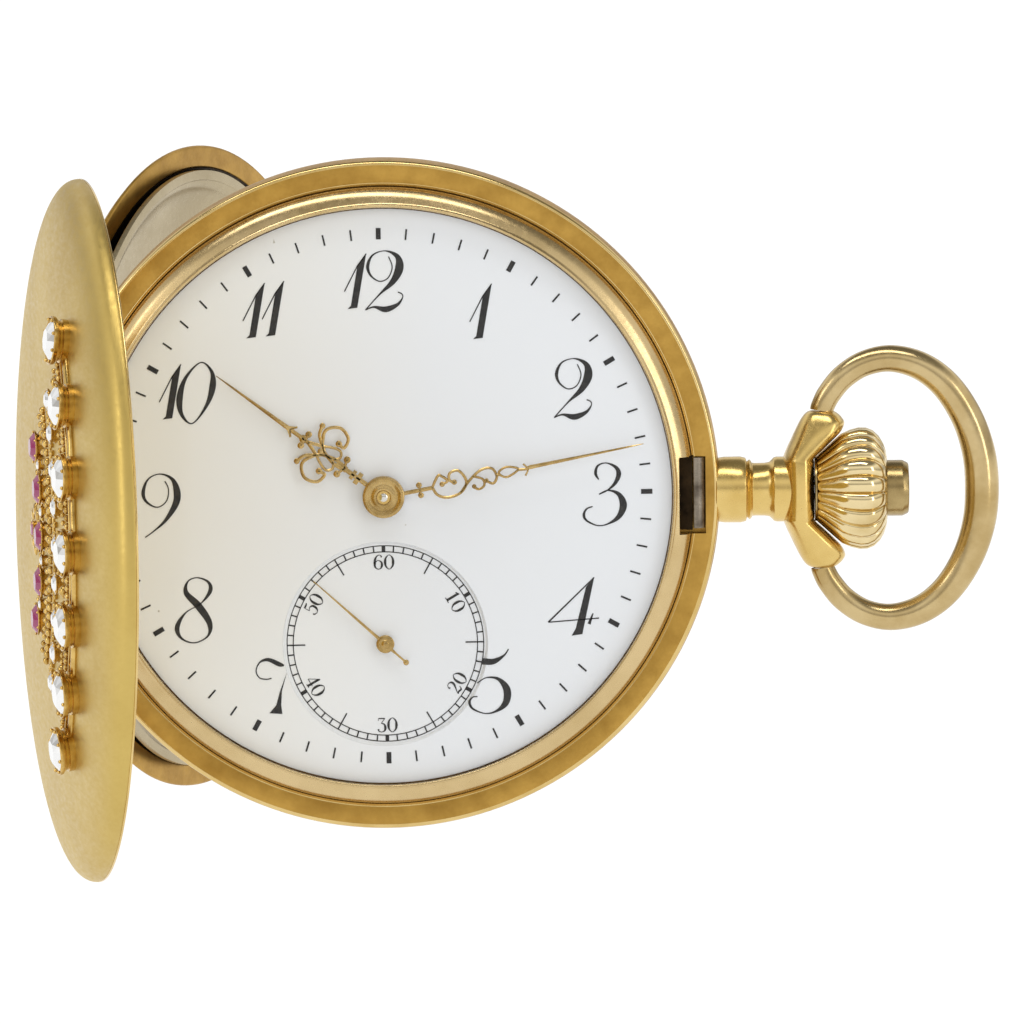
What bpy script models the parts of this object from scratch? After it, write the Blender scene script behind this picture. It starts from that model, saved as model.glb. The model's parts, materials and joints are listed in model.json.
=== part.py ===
"""Hunter pocket watch: keyless, with a sprung front lid, a rear cover and a dust cover.

Frame: +X points to the crown, +Z to 12 o'clock, and the dial faces -Y. The origin is the
centre of the crystal's flat front. Every size below is in millimetres. The front lid, rear
cover and cuvette are modelled closed, then turned open about their hinges.
"""
import math

import bmesh
import bpy
from mathutils import Matrix, Vector

MM = 0.001

# case, radii and depths along Y
CASE_R = 25.0            # widest radius of the middle case
RIM_R = 24.75            # outer edge of the flat rims
FRONT_RIM_Y = 2.8
MID_Y = 5.0              # the stem, pendant and bow lie in this plane
REAR_RIM_Y = 7.2
MOVEMENT_R = 21.4
BORE_R = 21.5            # bore that holds the movement
BEZEL_R = 22.95
LID_R = 25.1
LID_RISE = 4.35
REAR_R = 24.7
REAR_RISE = 4.35
CUVETTE_R = 22.9
SHELL = 0.45             # wall of the lid and the rear cover
GAP = 0.03               # clearance between pieces that fit together
RING_SEGMENTS = 36

# how far each cover stands open at rest, in degrees
LID_OPEN = 79.6
REAR_OPEN = 65.0
CUVETTE_OPEN = 67.5

# hinge axes, parallel to Z: (x, y, knuckle radius, half length of the middle knuckle)
LID_HINGE = (-25.25, 2.75, 0.55, 2.0)
REAR_HINGE = (-25.25, 7.25, 0.55, 2.0)
CUVETTE_HINGE = (-23.35, 6.78, 0.36, 1.5)
PIN_SHARE = 0.5          # pin radius as a share of the knuckle's

# dial side
CRYSTAL_FLAT_R = 15.0
CRYSTAL_R = 21.42
CRYSTAL_DROP = 1.45
CRYSTAL_THICK = 0.5
DIAL_FACE_Y = 2.3
DIAL_BACK_Y = 3.1
DIAL_R = 21.83
SECONDS_Z = -11.0        # centre of the seconds dial
SECONDS_R = 7.6
SECONDS_FACE_Y = 2.6

# hands: clockwise angle from 12 o'clock, front and back of the blade
MINUTE_HAND = (78.9, 1.42, 1.57)
HOUR_HAND = (306.6, 1.75, 1.9)
SECONDS_HAND = (312.0, 2.08, 2.18)
MINUTE_LENGTH = 19.7
HOUR_LENGTH = 15.35
SECONDS_LENGTH = 7.2

# movement levels along Y
PLATE_Y = (3.2, 4.8)
BRIDGE_Y = (6.8, 7.6)
KEYLESS_Y = (7.65, 7.95)     # ratchet and crown wheels

# arbor centres (x, z)
CENTRE = (0.0, 0.0)
BARREL = (5.8, 6.9)
THIRD = (3.58, -6.25)
FOURTH = (0.0, SECONDS_Z)
ESCAPE = (-4.7, -12.2)
PALLET = (-7.67, -9.23)
BALANCE = (-11.3, -5.6)
MINUTE_ARBOR = (2.6, 1.5)
CROWN_WHEEL = (14.6, 0.0)
CLICK = (-0.6, 12.2)
SCREWS = ((13.9, 13.9), (-1.7, 19.6), (17.0, -9.9), (3.4, -19.3), (-15.6, 8.6))

# teeth
BARREL_TEETH, CENTRE_PINION = 60, 8
CENTRE_TEETH, THIRD_PINION = 48, 6
THIRD_TEETH, FOURTH_PINION = 45, 6
FOURTH_TEETH, ESCAPE_PINION = 60, 6
ESCAPE_TEETH = 15
CANNON_TEETH, MINUTE_TEETH = 8, 24
MINUTE_PINION, HOUR_TEETH = 8, 32
RATCHET_TEETH, CROWN_TEETH = 32, 24
WINDING_TEETH = 14
ESCAPE_R = 3.2
BALANCE_R = 7.6

# pendant, crown and bow, along X
NECK_START = 25.08
YOKE_START = 29.7
CROWN_START, CROWN_END = 32.1, 37.4
BUTTON_END = 39.0
BUTTON_R = 2.08
CROWN_R = 4.55
CROWN_RIBS = 20
BOW_X = 32.5
BOW_END_Z = 5.85
BOW_CENTRE_X = 38.15
BOW_HALF_X, BOW_HALF_Z = 6.35, 9.65     # centre line of the wire
BOW_WIRE_END, BOW_WIRE_FAR = 0.9, 1.2   # wire radius
STEM_R = 0.6

# the catch's slot in the band and the bezel
SLOT_HALF = 2.85
SLOT_END = 23.95

# lid, and the jewels on it: a crescent of collets round an inner arc of rubies
LID_STEPS = (0.0, 0.27, 0.42, 0.57, 0.7, 0.8, 0.88, 0.94, 0.98)     # shares of the lid's radius
JEWEL_CENTRE = (-5.8, 0.0)    # (x, z) of both arcs, on the closed lid
COLLETS, COLLET_ARC, COLLET_STEP = 7, 22.0, 13.6      # count, radius, degrees apart
COLLET_R, COLLET_RISE = 1.55, 1.2
RUBIES, RUBY_ARC, RUBY_STEP = 5, 9.0, 21.5
RUBY_R, RUBY_RISE = 1.0, 0.6
ORNAMENT_CENTRE, ORNAMENT_R = (-2.2, 0.0), 2.4

GOLD = ((0.72, 0.52, 0.21), 0.35, 1.0)
POLISHED_GOLD = ((0.80, 0.62, 0.34), 0.12, 1.0)
GILT = ((0.78, 0.60, 0.30), 0.3, 1.0)
NICKEL = ((0.72, 0.70, 0.66), 0.3, 1.0)
STEEL = ((0.56, 0.57, 0.58), 0.25, 1.0)
BLUE_STEEL = ((0.05, 0.09, 0.35), 0.25, 1.0)
BRASS = ((0.76, 0.58, 0.25), 0.35, 1.0)
ENAMEL = ((0.90, 0.90, 0.89), 0.15, 0.0)
GLASS = ((0.95, 0.97, 0.98), 0.03, 0.0)


# ---------------------------------------------------------------- helpers

def clear_scene():
    for item in list(bpy.data.objects):
        bpy.data.objects.remove(item, do_unlink=True)


def make_material(name, look):
    colour, roughness, metallic = look
    material = bpy.data.materials.new(name + "_material")
    material.use_nodes = True
    shader = material.node_tree.nodes["Principled BSDF"]
    shader.inputs["Base Color"].default_value = (*colour, 1.0)
    shader.inputs["Roughness"].default_value = roughness
    shader.inputs["Metallic"].default_value = metallic
    return material


def add_object(name, mesh, look=GOLD):
    item = bpy.data.objects.new(name, mesh)
    bpy.context.collection.objects.link(item)
    mesh.materials.clear()
    mesh.materials.append(make_material(name, look))
    mesh.shade_smooth()
    mesh.set_sharp_from_angle(angle=math.radians(30))
    return item


def from_bmesh(name, shape, look):
    bmesh.ops.recalc_face_normals(shape, faces=shape.faces)
    mesh = bpy.data.meshes.new(name)
    shape.to_mesh(mesh)
    shape.free()
    mesh.transform(Matrix.Scale(MM, 4))
    return add_object(name, mesh, look)


def axis_matrix(axis, centre):
    """Turns local Z into the named world axis, and moves the origin to the centre."""
    turns = {"X": Matrix.Rotation(math.pi / 2, 4, "Y"), "Z": Matrix.Identity(4),
             "Y": Matrix.Rotation(-math.pi / 2, 4, "X")}
    return Matrix.Translation(Vector(centre)) @ turns[axis]


def turned(name, outline, look, axis="Y", centre=(0, 0, 0), segments=RING_SEGMENTS, ribs=None):
    """Turns a closed outline of (radius, height) points. Ribs scale the radius round the turn."""
    shape = bmesh.new()
    rings = []
    for radius, height in outline:
        if radius < 1e-6:
            rings.append([shape.verts.new((0, 0, height))])
            continue
        ring = []
        for index in range(segments):
            angle = 2 * math.pi * index / segments
            reach = radius if ribs is None else ribs(radius, height, angle)
            ring.append(shape.verts.new((reach * math.cos(angle), reach * math.sin(angle), height)))
        rings.append(ring)
    for ring, after in zip(rings, rings[1:] + rings[:1]):
        join_rings(shape, ring, after, segments)
    bmesh.ops.transform(shape, matrix=axis_matrix(axis, centre), verts=shape.verts)
    return from_bmesh(name, shape, look)


def join_rings(shape, ring, after, segments):
    if len(ring) == 1 and len(after) == 1:
        return
    for index in range(segments):
        follow = (index + 1) % segments
        if len(ring) == 1:
            shape.faces.new((ring[0], after[index], after[follow]))
        elif len(after) == 1:
            shape.faces.new((ring[index], after[0], ring[follow]))
        else:
            shape.faces.new((ring[index], after[index], after[follow], ring[follow]))


def cylinder(radius, start, end, axis="Y", centre=(0, 0, 0), segments=16, name="tool", look=STEEL):
    outline = [(0, start), (radius, start), (radius, end), (0, end)]
    return turned(name, outline, look, axis, centre, segments)


def tube(name, inner, outer, start, end, look, axis="Y", centre=(0, 0, 0), segments=24):
    outline = [(inner, start), (outer, start), (outer, end), (inner, end)]
    return turned(name, outline, look, axis, centre, segments)


def box(low, high, name="tool", look=STEEL):
    shape = bmesh.new()
    bmesh.ops.create_cube(shape, size=1.0)
    size = Vector(high) - Vector(low)
    middle = (Vector(high) + Vector(low)) / 2
    bmesh.ops.scale(shape, vec=size, verts=shape.verts)
    bmesh.ops.translate(shape, vec=middle, verts=shape.verts)
    return from_bmesh(name, shape, look)


def plate(name, outlines, start, end, look):
    """A flat piece from outlines in the XZ plane: the outer one, then any holes."""
    curve = bpy.data.curves.new(name, "CURVE")
    curve.dimensions = "2D"
    curve.fill_mode = "BOTH"
    curve.extrude = (end - start) / 2
    for outline in outlines:
        spline = curve.splines.new("POLY")
        spline.points.add(len(outline) - 1)
        spline.use_cyclic_u = True
        for point, (x, z) in zip(spline.points, outline):
            point.co = (x, z, 0, 1)
    source = bpy.data.objects.new(name + "_outline", curve)
    bpy.context.collection.objects.link(source)
    graph = bpy.context.evaluated_depsgraph_get()
    mesh = bpy.data.meshes.new_from_object(source.evaluated_get(graph))
    bpy.data.objects.remove(source, do_unlink=True)
    shape = bmesh.new()
    shape.from_mesh(mesh)
    bpy.data.meshes.remove(mesh)
    bmesh.ops.remove_doubles(shape, verts=shape.verts, dist=1e-5)
    stand = Matrix.Translation((0, (start + end) / 2, 0)) @ Matrix.Rotation(math.pi / 2, 4, "X")
    bmesh.ops.transform(shape, matrix=stand, verts=shape.verts)
    return from_bmesh(name, shape, look)


def combine(target, operation, *tools):
    """Joins tools to the target, or cuts them out of it, and removes the tools."""
    for item in tools:
        modifier = target.modifiers.new(operation.lower(), "BOOLEAN")
        modifier.operation = operation
        modifier.solver = "EXACT"
        modifier.object = item
    graph = bpy.context.evaluated_depsgraph_get()
    result = bpy.data.meshes.new_from_object(target.evaluated_get(graph))
    target.modifiers.clear()
    material = target.data.materials[0]
    target.data = result
    result.materials.clear()
    result.materials.append(material)
    result.polygons.foreach_set("material_index", [0] * len(result.polygons))
    for item in tools:
        bpy.data.objects.remove(item, do_unlink=True)
    return target


def pivot(name, position):
    """An empty on a joint's axis, which carries the pieces that move there."""
    empty = bpy.data.objects.new(name, None)
    empty.empty_display_size = 2 * MM
    empty.location = Vector(position) * MM
    bpy.context.collection.objects.link(empty)
    return empty


def carry(empty, *pieces):
    for piece in pieces:
        piece.parent = empty
        piece.matrix_parent_inverse = Matrix.Translation(-empty.location)


# ---------------------------------------------------------------- outlines

def circle(centre, radius, points=24, start=0.0):
    return [(centre[0] + radius * math.cos(start + 2 * math.pi * k / points),
             centre[1] + radius * math.sin(start + 2 * math.pi * k / points)) for k in range(points)]


def arc(centre, radius, start, end, points):
    """Points on an arc, with its angles in degrees."""
    steps = [math.radians(start + (end - start) * k / (points - 1)) for k in range(points)]
    return [(centre[0] + radius * math.cos(a), centre[1] + radius * math.sin(a)) for a in steps]


def gear(centre, teeth, pitch_r, turn=0.0):
    """A toothed outline, with one point at each root and one at each tip."""
    module = 2 * pitch_r / teeth
    tip, root = pitch_r + 0.75 * module, pitch_r - 1.15 * module
    step = 2 * math.pi / teeth
    points = []
    for k in range(teeth):
        middle = turn + k * step
        for offset, radius in ((-0.5, root), (0.0, tip)):
            angle = middle + offset * step
            points.append((centre[0] + radius * math.cos(angle), centre[1] + radius * math.sin(angle)))
    return points


def mesh_turn(centre, other, teeth, turn, other_teeth):
    """The turn that puts a gear's gap where the other gear's tooth is, on their centre line."""
    line = math.atan2(other[1] - centre[1], other[0] - centre[0])
    step = 2 * math.pi / teeth
    other_step = 2 * math.pi / other_teeth
    lag = ((line + math.pi - turn) / other_step) % 1.0
    return line + step * (0.5 + lag)


def spokes(centre, inner, outer, count, width, points=4):
    """The openings between a wheel's arms, as outlines."""
    openings = []
    for k in range(count):
        start = 360.0 * k / count
        inner_edge = math.degrees(math.asin(width / 2 / inner))
        outer_edge = math.degrees(math.asin(width / 2 / outer))
        step = 360.0 / count
        openings.append(arc(centre, outer, start + outer_edge, start + step - outer_edge, points)
                        + arc(centre, inner, start + step - inner_edge, start + inner_edge, 3))
    return openings


def distance(a, b):
    return math.dist(a, b)


def place(point, y=0.0):
    return (point[0], y, point[1])

# ---------------------------------------------------------------- case

def knuckle(hinge, low, high, name="tool", bore=True):
    x, y, radius, _ = hinge
    if bore:
        outline = [(radius * PIN_SHARE + GAP, low), (radius, low), (radius, high),
                   (radius * PIN_SHARE + GAP, high)]
    else:
        outline = [(0, low), (radius, low), (radius, high), (0, high)]
    return turned(name, outline, GOLD, "Z", (x, y, 0), 16)


def cut_knuckles(item, hinge, ranges, spare=0.08):
    """Leaves room in a ring for the other leaf's knuckles."""
    x, y, radius, _ = hinge
    for low, high in ranges:
        grown = (x, y, radius + spare, 0)
        combine(item, "DIFFERENCE", knuckle(grown, low - 0.05, high + 0.05, bore=False))


def add_knuckles(item, hinge, ranges, reach, leaf_y):
    """Joins knuckles to a piece, each with a short leaf that reaches in to it."""
    x, y, radius, _ = hinge
    for low, high in ranges:
        leaf = box((x, leaf_y[0], low), (x + reach, leaf_y[1], high))
        combine(item, "UNION", leaf, knuckle(hinge, low, high, bore=False))
    reach = 2.1 * hinge[3] + 0.3
    hole = cylinder(radius * PIN_SHARE + GAP, -reach, reach, "Z", (x, y, 0), 12)
    combine(item, "DIFFERENCE", hole)


def middle_range(hinge):
    return [(-hinge[3], hinge[3])]


def outer_ranges(hinge):
    half = hinge[3]
    return [(half + 0.06, 2.1 * half), (-2.1 * half, -half - 0.06)]


def build_band():
    outline = [(BORE_R, 3.8), (23.0, 3.8), (23.0, 2.9), (23.15, FRONT_RIM_Y), (RIM_R, FRONT_RIM_Y),
               (24.95, 3.3), (CASE_R, MID_Y), (24.95, 6.7), (RIM_R, REAR_RIM_Y), (23.3, REAR_RIM_Y),
               (23.05, 6.95), (23.05, 6.6), (BORE_R, 6.6)]
    band = turned("case_band", outline, GOLD)
    combine(band, "DIFFERENCE", cylinder(0.9, 20, 27, "X", (0, MID_Y, 0), 12))
    combine(band, "DIFFERENCE", box((20.9, 1.0, -SLOT_HALF), (SLOT_END, 4.0, SLOT_HALF)))
    for hinge, leaf_y in ((LID_HINGE, (2.85, 3.25)), (REAR_HINGE, (6.75, 7.15)),
                          (CUVETTE_HINGE, (6.4, 6.57))):
        cut_knuckles(band, hinge, outer_ranges(hinge))
        add_knuckles(band, hinge, middle_range(hinge), 0.8, leaf_y)
    for low, high in outer_ranges(CUVETTE_HINGE):     # room for the dust cover's leaves
        combine(band, "DIFFERENCE", box((-23.5, 6.7, low - 0.08), (-22.6, 7.5, high + 0.08)))


def build_bezel():
    outline = [(21.45, 1.55), (21.6, 1.42), (21.8, 1.45), (22.5, 1.95), (22.85, 2.4), (BEZEL_R, 2.8),
               (BEZEL_R, 3.7), (21.95, 3.7), (21.95, 2.2), (21.45, 2.2)]
    bezel = turned("bezel_ring", outline, POLISHED_GOLD)
    combine(bezel, "DIFFERENCE", box((21.85, 1.0, -SLOT_HALF), (SLOT_END, 4.0, SLOT_HALF)))


def build_crystal():
    radii = [CRYSTAL_FLAT_R, 18.0, 20.0, CRYSTAL_R]
    span = CRYSTAL_R - CRYSTAL_FLAT_R
    front = [(r, CRYSTAL_DROP * ((r - CRYSTAL_FLAT_R) / span) ** 2) for r in radii]
    back = [(r, y + CRYSTAL_THICK) for r, y in reversed(front)]
    turned("crystal", [(0, 0)] + front + back + [(0, CRYSTAL_THICK)], GLASS)


def dome(rise, power, share):
    """How far a dome stands proud of its rim, at a share of its radius."""
    return rise * (1 - share ** power)


def lid_surface(share, lift=0.0):
    """A point of the lid's outer surface, as (radius, y): steep at the rim, then nearly flat."""
    return (share * LID_R, FRONT_RIM_Y - GAP - 0.12 - LID_RISE * (1 - share ** 3) ** 0.4 - lift)


def build_lid():
    rim = FRONT_RIM_Y - GAP
    outer = [lid_surface(s) for s in LID_STEPS] + [(LID_R, rim - 0.1), (24.9, rim)]
    inner = [(s * LID_R, lid_surface(s)[1] + SHELL) for s in reversed(LID_STEPS[:-2])]
    lip = [(23.9, rim), (23.45, FRONT_RIM_Y - 0.5), (23.0, 1.3)]
    lid = turned("front_cover", outer + lip + inner, GOLD)
    cut_knuckles(lid, LID_HINGE, middle_range(LID_HINGE))
    add_knuckles(lid, LID_HINGE, outer_ranges(LID_HINGE), 1.1, (2.2, 2.72))
    collets = jewel_arc("collet_ring", COLLETS, COLLET_ARC, COLLET_STEP, COLLET_R, COLLET_RISE, 0.56)
    rubies = jewel_arc("ruby_ring", RUBIES, RUBY_ARC, RUBY_STEP, RUBY_R, RUBY_RISE, 0.0)
    ornament = build_ornament()
    hinge = pivot("front_cover_hinge", (LID_HINGE[0], LID_HINGE[1], 0))
    carry(hinge, lid, collets, rubies, ornament)
    hinge.rotation_euler.z = -math.radians(LID_OPEN)


def jewel_arc(name, count, radius, step, size, rise, share):
    """Stone settings along an arc, on a thin curved bar that lies on the lid."""
    base = lid_surface(share)[1] - 0.06
    half = step * (count - 1) / 2 + 2
    band = (arc(JEWEL_CENTRE, radius + 0.7 * size, -half, half, 12)
            + arc(JEWEL_CENTRE, radius - 0.7 * size, half, -half, 12))
    piece = plate(name, [band], base - 0.25, base, GOLD)
    for k in range(count):
        angle = math.radians(step * (k - (count - 1) / 2))
        x, z = radius * math.cos(angle), radius * math.sin(angle)
        centre = (JEWEL_CENTRE[0] + x, base, JEWEL_CENTRE[1] + z)
        combine(piece, "UNION", cylinder(size, -rise, -0.1, "Y", centre, 8))
    return piece


def build_ornament():
    top = lid_surface(0.0)[1] - 0.06
    outline = [(0, top), (0, top - 0.35), (0.9, top - 0.3), (1.1, top - 0.2), (ORNAMENT_R - 0.2, top - 0.2),
               (ORNAMENT_R, top)]
    return turned("center_ornament", outline, GOLD, centre=place(ORNAMENT_CENTRE), segments=24)


def build_rear_cover():
    shares = (0.0, 0.2, 0.62, 0.82, 0.93)
    rim = REAR_RIM_Y + GAP + 0.02
    outer = [(s * REAR_R, rim + 0.3 + dome(REAR_RISE, 5, max(s, 0.2))) for s in shares]
    inner = [(r, y - SHELL) for r, y in outer if r < 22.0]
    outline = [*outer, (REAR_R, rim + 0.3), (REAR_R - 0.1, rim), (23.1, rim), (22.7, 8.5), *reversed(inner)]
    cover = turned("rear_cover", outline, GOLD)
    cut_knuckles(cover, REAR_HINGE, middle_range(REAR_HINGE))
    add_knuckles(cover, REAR_HINGE, outer_ranges(REAR_HINGE), 1.3, (7.28, 7.8))
    hinge = pivot("rear_cover_hinge", (REAR_HINGE[0], REAR_HINGE[1], 0))
    carry(hinge, cover)
    hinge.rotation_euler.z = math.radians(REAR_OPEN)


def build_cuvette():
    rim = 6.65
    outline = [(CUVETTE_R, rim), (CUVETTE_R, 7.12), (22.1, 7.16), (21.7, 7.9), (20.4, 8.42), (15.0, 8.75),
               (0, 8.85), (0, 8.5), (14.8, 8.4), (20.1, 8.08), (21.3, 7.7), (21.6, rim)]
    cover = turned("cuvette", outline, POLISHED_GOLD)
    cut_knuckles(cover, CUVETTE_HINGE, middle_range(CUVETTE_HINGE))
    add_knuckles(cover, CUVETTE_HINGE, outer_ranges(CUVETTE_HINGE), 0.9, (6.84, 7.1))
    hinge = pivot("cuvette_hinge", (CUVETTE_HINGE[0], CUVETTE_HINGE[1], 0))
    carry(hinge, cover)
    hinge.rotation_euler.z = math.radians(CUVETTE_OPEN)


def build_pins():
    names = ("front_hinge_pin", "rear_hinge_pin", "cuvette_hinge_pin")
    for name, hinge in zip(names, (LID_HINGE, REAR_HINGE, CUVETTE_HINGE)):
        x, y, radius, half = hinge
        reach = 2.1 * half
        cylinder(radius * PIN_SHARE, -reach, reach, "Z", (x, y, 0), 12, name, STEEL)


# ---------------------------------------------------------------- pendant, bow, crown

def build_pendant():
    outline = [(0.95, NECK_START), (2.45, NECK_START), (2.45, 26.8), (2.2, 26.9), (2.25, 27.35),
               (1.9, 27.5), (1.9, 28.8), (2.45, 29.0), (2.45, YOKE_START - GAP), (0.95, YOKE_START - GAP)]
    turned("pendant_neck", outline, POLISHED_GOLD, "X", (0, MID_Y, 0), 24)
    half = [(YOKE_START, 2.2), (30.6, 2.6), (31.1, 3.9), (31.5, 5.5), (31.8, 5.8), (33.3, 5.8),
            (34.2, 5.2), (33.2, 3.9), (32.4, 3.0), (32.0, 2.4)]
    shape = half + [(x, -z) for x, z in reversed(half)]
    yoke = plate("bow_yoke", [shape], MID_Y - 2.1, MID_Y + 2.1, POLISHED_GOLD)
    combine(yoke, "DIFFERENCE", cylinder(0.95, 29, 34, "X", (0, MID_Y, 0)))
    for low, high in ((4.9, 6.5), (-6.5, -4.9)):
        combine(yoke, "DIFFERENCE", cylinder(0.55, low, high, "Z", (BOW_X, MID_Y, 0), 12))


def bow_path(steps):
    """The wire's centre line: an oval from one side of the yoke round to the other."""
    half_gap = math.acos((BOW_X - BOW_CENTRE_X) / BOW_HALF_X)
    points = []
    for k in range(steps + 1):
        angle = half_gap - 2 * half_gap * k / steps
        points.append((BOW_CENTRE_X + BOW_HALF_X * math.cos(angle), BOW_HALF_Z * math.sin(angle), angle))
    return points


def build_bow():
    shape = bmesh.new()
    start = [(BOW_X, BOW_END_Z - 0.8, None, 0.45), (BOW_X, BOW_END_Z, None, 0.45),
             (BOW_X, BOW_END_Z, None, 0.85)]
    path = list(start)
    for x, z, angle in bow_path(26)[1:-1]:
        share = (1 + math.cos(angle)) / 2
        wire = BOW_WIRE_END + (BOW_WIRE_FAR - BOW_WIRE_END) * share
        if abs(z) > BOW_END_Z + 0.5 or x > BOW_CENTRE_X:     # clear of the yoke's flat ends
            path.append((x, z, angle, wire))
    path += [(x, -z, angle, wire) for x, z, angle, wire in reversed(start)]
    rings = []
    for x, z, angle, wire in path:
        outward = Vector((-1, 0, 0))
        if angle is not None:
            outward = Vector((math.cos(angle) / BOW_HALF_X, 0, math.sin(angle) / BOW_HALF_Z)).normalized()
        ring = []
        for k in range(10):
            turn = 2 * math.pi * k / 10
            offset = outward * wire * math.cos(turn) + Vector((0, 1, 0)) * wire * math.sin(turn)
            ring.append(shape.verts.new(Vector((x, MID_Y, z)) + offset))
        rings.append(ring)
    for ring, after in zip(rings, rings[1:]):
        join_rings(shape, ring, after, 10)
    shape.faces.new(rings[0])
    shape.faces.new(rings[-1])
    bow = from_bmesh("bow", shape, POLISHED_GOLD)
    carry(pivot("bow_swivel", (BOW_X, MID_Y, 0)), bow)


def crown_ribs(radius, height, angle):
    """Rounded ribs that fade out towards the crown's neck and end."""
    middle = (CROWN_START + CROWN_END) / 2
    depth = max(0.0, 1 - ((height - middle - 0.3) / 2.6) ** 2)
    return radius * (1 - 0.045 * depth * (1 - abs(math.cos(CROWN_RIBS * angle / 2))))


def build_crown():
    outline = [(STEM_R + GAP, CROWN_START), (2.3, CROWN_START), (3.2, 33.0), (4.1, 34.1), (CROWN_R, 35.3),
               (4.3, 36.4), (3.5, 37.2), (2.9, CROWN_END), (BUTTON_R + 0.05, CROWN_END),
               (BUTTON_R + 0.05, 35.4), (STEM_R + GAP, 35.4)]

    def ribs(radius, height, angle):
        return crown_ribs(radius, height, angle) if radius > 2.5 else radius

    crown = turned("crown", outline, POLISHED_GOLD, "X", (0, MID_Y, 0), 2 * CROWN_RIBS, ribs)
    stem = cylinder(STEM_R, 13.6, 35.3, "X", (0, MID_Y, 0), 12, "winding_stem", STEEL)
    outline = [(0, 36.45), (BUTTON_R, 36.45), (BUTTON_R, BUTTON_END - 0.2),
               (BUTTON_R - 0.2, BUTTON_END), (0, BUTTON_END)]
    button = turned("release_button", outline, POLISHED_GOLD, "X", (0, MID_Y, 0), 20)
    turn = pivot("crown_turn", (CROWN_START, MID_Y, 0))
    carry(turn, crown, stem, button)


def build_latch():
    """The steel catch: a leaf behind the bezel, bent forward to a nose in the slot."""
    outline = [(23.05, 2.45), (23.5, 2.65), (23.85, 3.0), (23.6, 3.2), (23.6, 3.9), (23.05, 3.9)]
    shape = bmesh.new()
    low = [shape.verts.new((x, y, -2.6)) for x, y in outline]
    high = [shape.verts.new((x, y, 2.6)) for x, y in outline]
    join_rings(shape, low, high, len(outline))
    shape.faces.new(low)
    shape.faces.new(high)
    latch = from_bmesh("latch_spring", shape, STEEL)
    carry(pivot("latch_slide", (23.3, 3.0, 0)), latch)


def build_lift_spring():
    """The leaf spring in the band's bore that throws the lid open."""
    outline = arc((0, 0), 21.34, 196, 240, 9) + arc((0, 0), 21.1, 240, 196, 9)
    plate("lift_spring", [outline], 5.4, 6.2, STEEL)


# ---------------------------------------------------------------- dial and hands

def build_dials():
    holes = [circle((0, 0), 1.3, 20), circle((0, SECONDS_Z), SECONDS_R, 36)]
    plate("dial", [circle((0, 0), DIAL_R, 64)] + holes, DIAL_FACE_Y, DIAL_BACK_Y, ENAMEL)
    inner = circle((0, SECONDS_Z), 0.5, 12)
    plate("seconds_dial", [circle((0, SECONDS_Z), SECONDS_R - 0.05, 36), inner],
          SECONDS_FACE_Y, DIAL_BACK_Y, ENAMEL)


def turn_outline(points, centre, degrees):
    """Turns an outline drawn at 12 o'clock clockwise about its arbor."""
    angle = math.radians(degrees)
    return [(centre[0] + x * math.cos(angle) + z * math.sin(angle),
             centre[1] - x * math.sin(angle) + z * math.cos(angle)) for x, z in points]


def hand(name, centre, setting, half, hub, bore):
    """A hand from one side of its outline, (half width, distance out), closed round the hub."""
    degrees, front, back = setting
    start = math.degrees(math.asin(half[0][0] / hub))
    round_hub = arc((0, 0), hub, 90 + start, 450 - start, 17)
    left = [(-x, z) for x, z in reversed(half)]
    outline = round_hub + half[1:] + left[:-1]
    hole = circle(centre, bore, 12)
    return plate(name, [turn_outline(outline, centre, degrees), hole], front, back, GILT)


def build_hands():
    minute = [(0.35, 1.5), (0.7, 2.7), (0.3, 3.5), (1.0, 4.9), (0.3, 6.3), (0.6, 7.6), (0.2, 8.9),
              (0.45, 10.6), (0.15, 10.9), (0.04, MINUTE_LENGTH)]
    hour = [(0.5, 1.5), (0.9, 3.2), (0.4, 4.0), (2.0, 5.5), (1.0, 7.3), (0.2, 8.0), (0.5, 8.5),
            (0.15, 8.9), (0.04, HOUR_LENGTH)]
    seconds = [(0.12, 0.68), (0.03, SECONDS_LENGTH)]
    pieces = {"minute_hand": hand("minute_hand", CENTRE, MINUTE_HAND, minute, 1.56, 0.52),
              "hour_hand": hand("hour_hand", CENTRE, HOUR_HAND, hour, 1.56, 1.07),
              "seconds_hand": hand("seconds_hand", FOURTH, SECONDS_HAND, seconds, 0.7, 0.22)}
    tail = turn_outline([(0.12, 0.5), (0.2, 2.3), (-0.2, 2.3), (-0.12, 0.5)], FOURTH, SECONDS_HAND[0] + 180)
    combine(pieces["seconds_hand"], "UNION", plate("tool", [tail], SECONDS_HAND[1], SECONDS_HAND[2], GILT))
    return pieces


# ---------------------------------------------------------------- movement

def wheel(name, centre, outlines, levels, arbor, pinion=None, look=BRASS):
    """A wheel on its arbor, with its pinion where it has one."""
    piece = plate(name, outlines, levels[0], levels[1], look)
    radius, start, end = arbor
    combine(piece, "UNION", cylinder(radius, start, end, "Y", place(centre), 12))
    if pinion:
        outline, low, high = pinion
        combine(piece, "UNION", plate("tool", [outline], low, high, look))
    return piece


def pitch(a, b, teeth_a, teeth_b):
    """Pitch radius of the first of two meshed gears."""
    return distance(a, b) * teeth_a / (teeth_a + teeth_b)


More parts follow.
